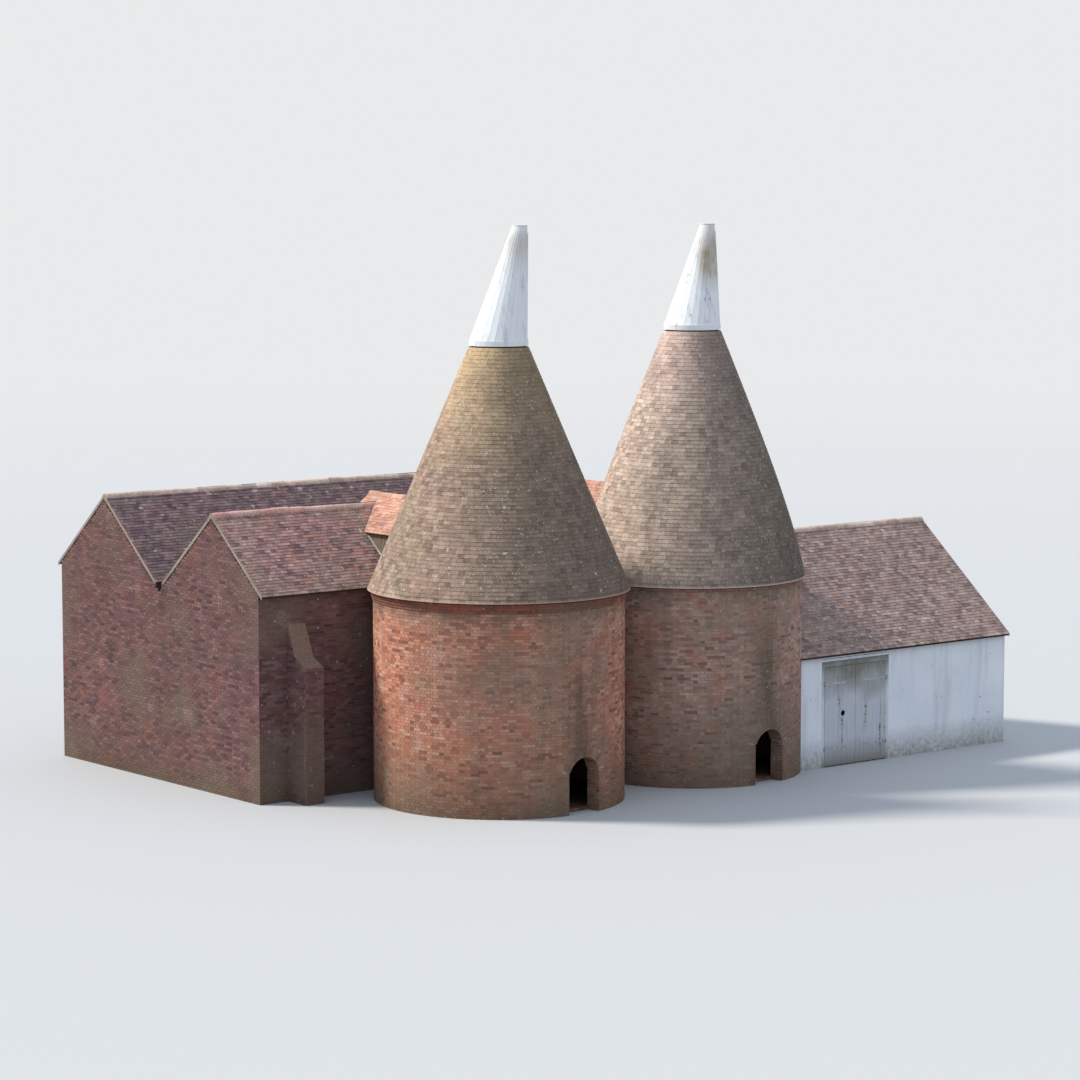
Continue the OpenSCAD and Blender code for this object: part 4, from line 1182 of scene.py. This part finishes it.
fillet_mortar = mortar_finish("fillet mortar", paint(214, 204, 192), paint(178, 168, 156))
fillet_lines = [fillet_line(number, front_ridge, angle_from, angle_to, 24)
                for number in (0, 1) for angle_from, angle_to in ((46, 71), (134, 109))]
fillet_lines.append(fillet_line(1, range_ridge, -33, 54, 48))
for axis_x, axis_y in kiln_axes:
    foot_y = front_ridge[0] - (front_ridge[1] - saddle_eaves_z) / math.tan(pitch)
    for way in (-1, 1):
        run = [Vector((axis_x + way * (saddle_half - 0.035), y, roof_z(front_ridge, y) + 0.008))
               for y in (foot_y - 0.02 - 0.08 * step for step in range(16))]
        fillet_lines.append([point for point in run if not in_kiln(point, 0.0)])
fillets = bead("mortar_fillets", fillet_lines, fillet_thick, fillet_mortar)
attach(fillets, "building")

verge_solids = []
for x, way, slopes in ((stowage_left, -1, (front_slope, *valley_slopes, back_slope)),
                       (stowage_right, 1, (front_slope, *valley_slopes, back_slope)),
                       (range_right, 1, range_slopes)):
    for foot_y, ridge in slopes:
        foot = (foot_y, roof_z(ridge, foot_y))
        outline = [(x, y, z + up) for (y, z), up in ((foot, 0.006), (ridge, 0.006), (ridge, -verge_high),
                                                     (foot, -verge_high))]
        verge_solids.append(prism(outline, (way * verge_proud, 0, 0)))
verge_mortar = mortar_finish("verge mortar", paint(176, 160, 146), paint(142, 126, 114))
verges = finished_piece("verge_pointing", join_solids("verge pointing", verge_solids), verge_mortar)
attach(verges, "building")

# Range: a low brick range under many coats of limewash, which has filled the
# joints, gone grey with dirt near the ground and flaked off here and there.
door_left, door_right = 3.765, 5.915
frame_wide = 0.10
head_z = 36 * course
range_start = kiln_2_x + 1.4
wall_head_gap = 0.10
limewash = start_finish("limewashed brick", 0.93, 0.2)
lime_masks = weathered(limewash, 0.8, 9.0, 3.0, 0.2, 4.0)
lime_foot = times(between(lime_masks["Height"], 0.0, 0.8, 0.85, 0.0),
                  between(lime_masks["Fine"], 0.3, 0.6, 0.4, 1.0))
lime_worn = times(between(lime_masks["Fine"], 0.64, 0.70), between(lime_masks["Broad"], 0.45, 0.6))
lime_colour = layered(paint(250, 251, 253), (between(lime_masks["Broad"], 0.35, 0.7), paint(238, 241, 246)),
                      (between(lime_masks["Streaks"], 0.52, 0.74, 0.0, 0.35), paint(186, 184, 176)),
                      (lime_foot, paint(138, 130, 112)), (lime_worn, paint(152, 108, 88)))
coat(limewash, lime_colour, lime_masks["Fine"], 0.5, 0.006)

front_wall_top = roof_z(range_ridge, range_front) - wall_head_gap
range_end = range_right + edge
range_places = []
for a, b, low, high in ((range_start, door_left - frame_wide, 0.0, head_z - joint),
                        (door_right + frame_wide, range_end, 0.0, head_z - joint),
                        (range_start, range_end, head_z, front_wall_top)):
    range_places += wall_places((a, range_front, 0), (1, 0, 0), (0, -1, 0), b - a, lambda u: high, low,
                                lambda p: in_kiln(p, 0.02))
range_places += wall_places((range_end, range_back, 0), (-1, 0, 0), (0, 1, 0), range_right - stowage_right,
                            lambda u: roof_z(range_ridge, range_back) - wall_head_gap)
range_places += wall_places((range_right, range_front - edge, 0), (0, 1, 0), (1, 0, 0),
                            range_back - range_front + 2 * edge,
                            lambda u: roof_z(range_ridge, range_front + u) - roof_thick + verge_rise)
bricks = make_piece("range_limewashed_bricks", laying_tree, range_places,
                    dict(brick_sizes, Thickness=0.024, Seed=91, Finish=limewash))
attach(bricks, "building")
finish_nodes(limewash, "range_front_wall", "range_left_wall", "range_back_wall", "range_party_wall")

# Doorway: a pair of ledged doors of grey-white painted boards in a plain frame,
# hung on black iron straps and pins, with a round hole in the left leaf.
leaf_boards, board_deep, board_ease, board_gap = 7, 0.028, 0.004, 0.0005
ledge_high, ledge_inset = 0.15, 0.05
hole_x, hole_z, hole_radius = 4.41, 1.34, 0.072


def door_paint_finish(name, fresh, painted_shade, painted_shade_low, dirt_top):
    """White paint darkened above by a painted shadow of the eaves, dirty at the foot, and worn to the wood in
    streaks.
    """
    finish = start_finish(name, 0.66, 0.3)
    masks = weathered(finish, 1.2, 12.0, 8.0, 0.1, 8.0)
    eaves_shade_height = reckon("ADD", masks["Height"], between(masks["Broad"], 0.3, 0.7, -0.25, 0.25))
    worn = times(between(masks["Streaks"], 0.62, 0.66), between(masks["Fine"], 0.5, 0.58))
    # Painted shadow of the eaves over the top of the doorway, ragged at its lower edge.
    colour = layered(fresh, (between(eaves_shade_height, painted_shade_low, painted_shade_low + 0.75, 0.0, 0.95), painted_shade),
                     (between(masks["Streaks"], 0.52, 0.7, 0.0, 0.5), paint(168, 169, 164)),
                     (between(masks["Height"], 0.05, dirt_top, 0.8, 0.0), paint(118, 112, 96)),
                     (worn, paint(122, 108, 90)))
    return coat(finish, colour, masks["Streaks"], 0.3, 0.003)


# The leaves and the frame both carry the painted shadow of the eaves at their tops.
door_paint = door_paint_finish("door paint", paint(210, 211, 216), paint(132, 128, 113), 1.65, 0.7)
frame_paint = door_paint_finish("frame paint", paint(222, 226, 230), paint(128, 126, 113), 1.80, 0.5)
finish_nodes(frame_paint, "door_frame")
for side, leaf_node, body in (("left", "door_left", "left_leaf"), ("right", "door_right", "right_leaf")):
    low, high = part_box(leaf_node)
    board = (high.x - low.x) / leaf_boards
    back_y, ease_y = high.y - board_deep, low.y + board_ease
    solids = []
    for number in range(leaf_boards):
        a, b = low.x + number * board, low.x + (number + 1) * board - board_gap
        start = a if number == 0 else a + board_gap
        solids.append(prism([(x, y, low.z) for x, y in (
            (start, back_y), (b, back_y), (b, ease_y), (b - board_ease, low.y), (a + board_ease, low.y),
            (start, ease_y))], (0, 0, high.z - low.z)))
    leaf_mesh = join_solids(side + " leaf boards", solids)
    if side == "left":
        hole = [(hole_x + hole_radius * math.cos(a * math.pi / 16), low.y - 0.02,
                 hole_z + hole_radius * math.sin(a * math.pi / 16)) for a in range(32)]
        leaf_mesh = cut_out(leaf_mesh, join_solids("hole cutter", [prism(hole, (0, 0.10, 0))]))
    boards = finished_piece(side + "_leaf_boards", leaf_mesh, door_paint)
    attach(boards, body)
    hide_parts(leaf_node)

    front_y = high.y - board_deep + 0.0005
    ledges = [prism([(low.x + ledge_inset, front_y, z), (high.x - ledge_inset, front_y, z),
                     (high.x - ledge_inset, high.y, z), (low.x + ledge_inset, high.y, z)], (0, 0, ledge_high))
              for z in (low.z + 0.25, (low.z + high.z) / 2 + 0.28, high.z - 0.40)]
    ledge_piece = finished_piece(side + "_leaf_ledges", join_solids(side + " ledges", ledges), door_paint)
    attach(ledge_piece, body)

iron = start_finish("black iron", 0.62, 0.4)
iron.node_tree.nodes["Principled BSDF"].inputs["Metallic"].default_value = 0.6
iron_masks = weathered(iron, 3.0, 30.0, 20.0, 0.2, 12.0)
rusty = lay_over(between(iron_masks["Fine"], 0.45, 0.65, 0.0, 0.7), paint(46, 44, 43), paint(96, 62, 44))
finish_nodes(coat(iron, rusty, iron_masks["Fine"], 0.4, 0.001), "door_pintles")
strap_paint = start_finish("painted strap", 0.62, 0.35)
strap_masks = weathered(strap_paint, 3.0, 26.0, 20.0, 0.2, 12.0)
strap_colour = layered(paint(196, 200, 202),
                       (between(strap_masks["Broad"], 0.4, 0.65, 0.0, 0.6), paint(158, 160, 156)),
                       (between(strap_masks["Fine"], 0.55, 0.63, 0.0, 0.9), paint(112, 76, 56)))
finish_nodes(coat(strap_paint, strap_colour, strap_masks["Fine"], 0.4, 0.001),
             "door_left_straps", "door_right_straps")
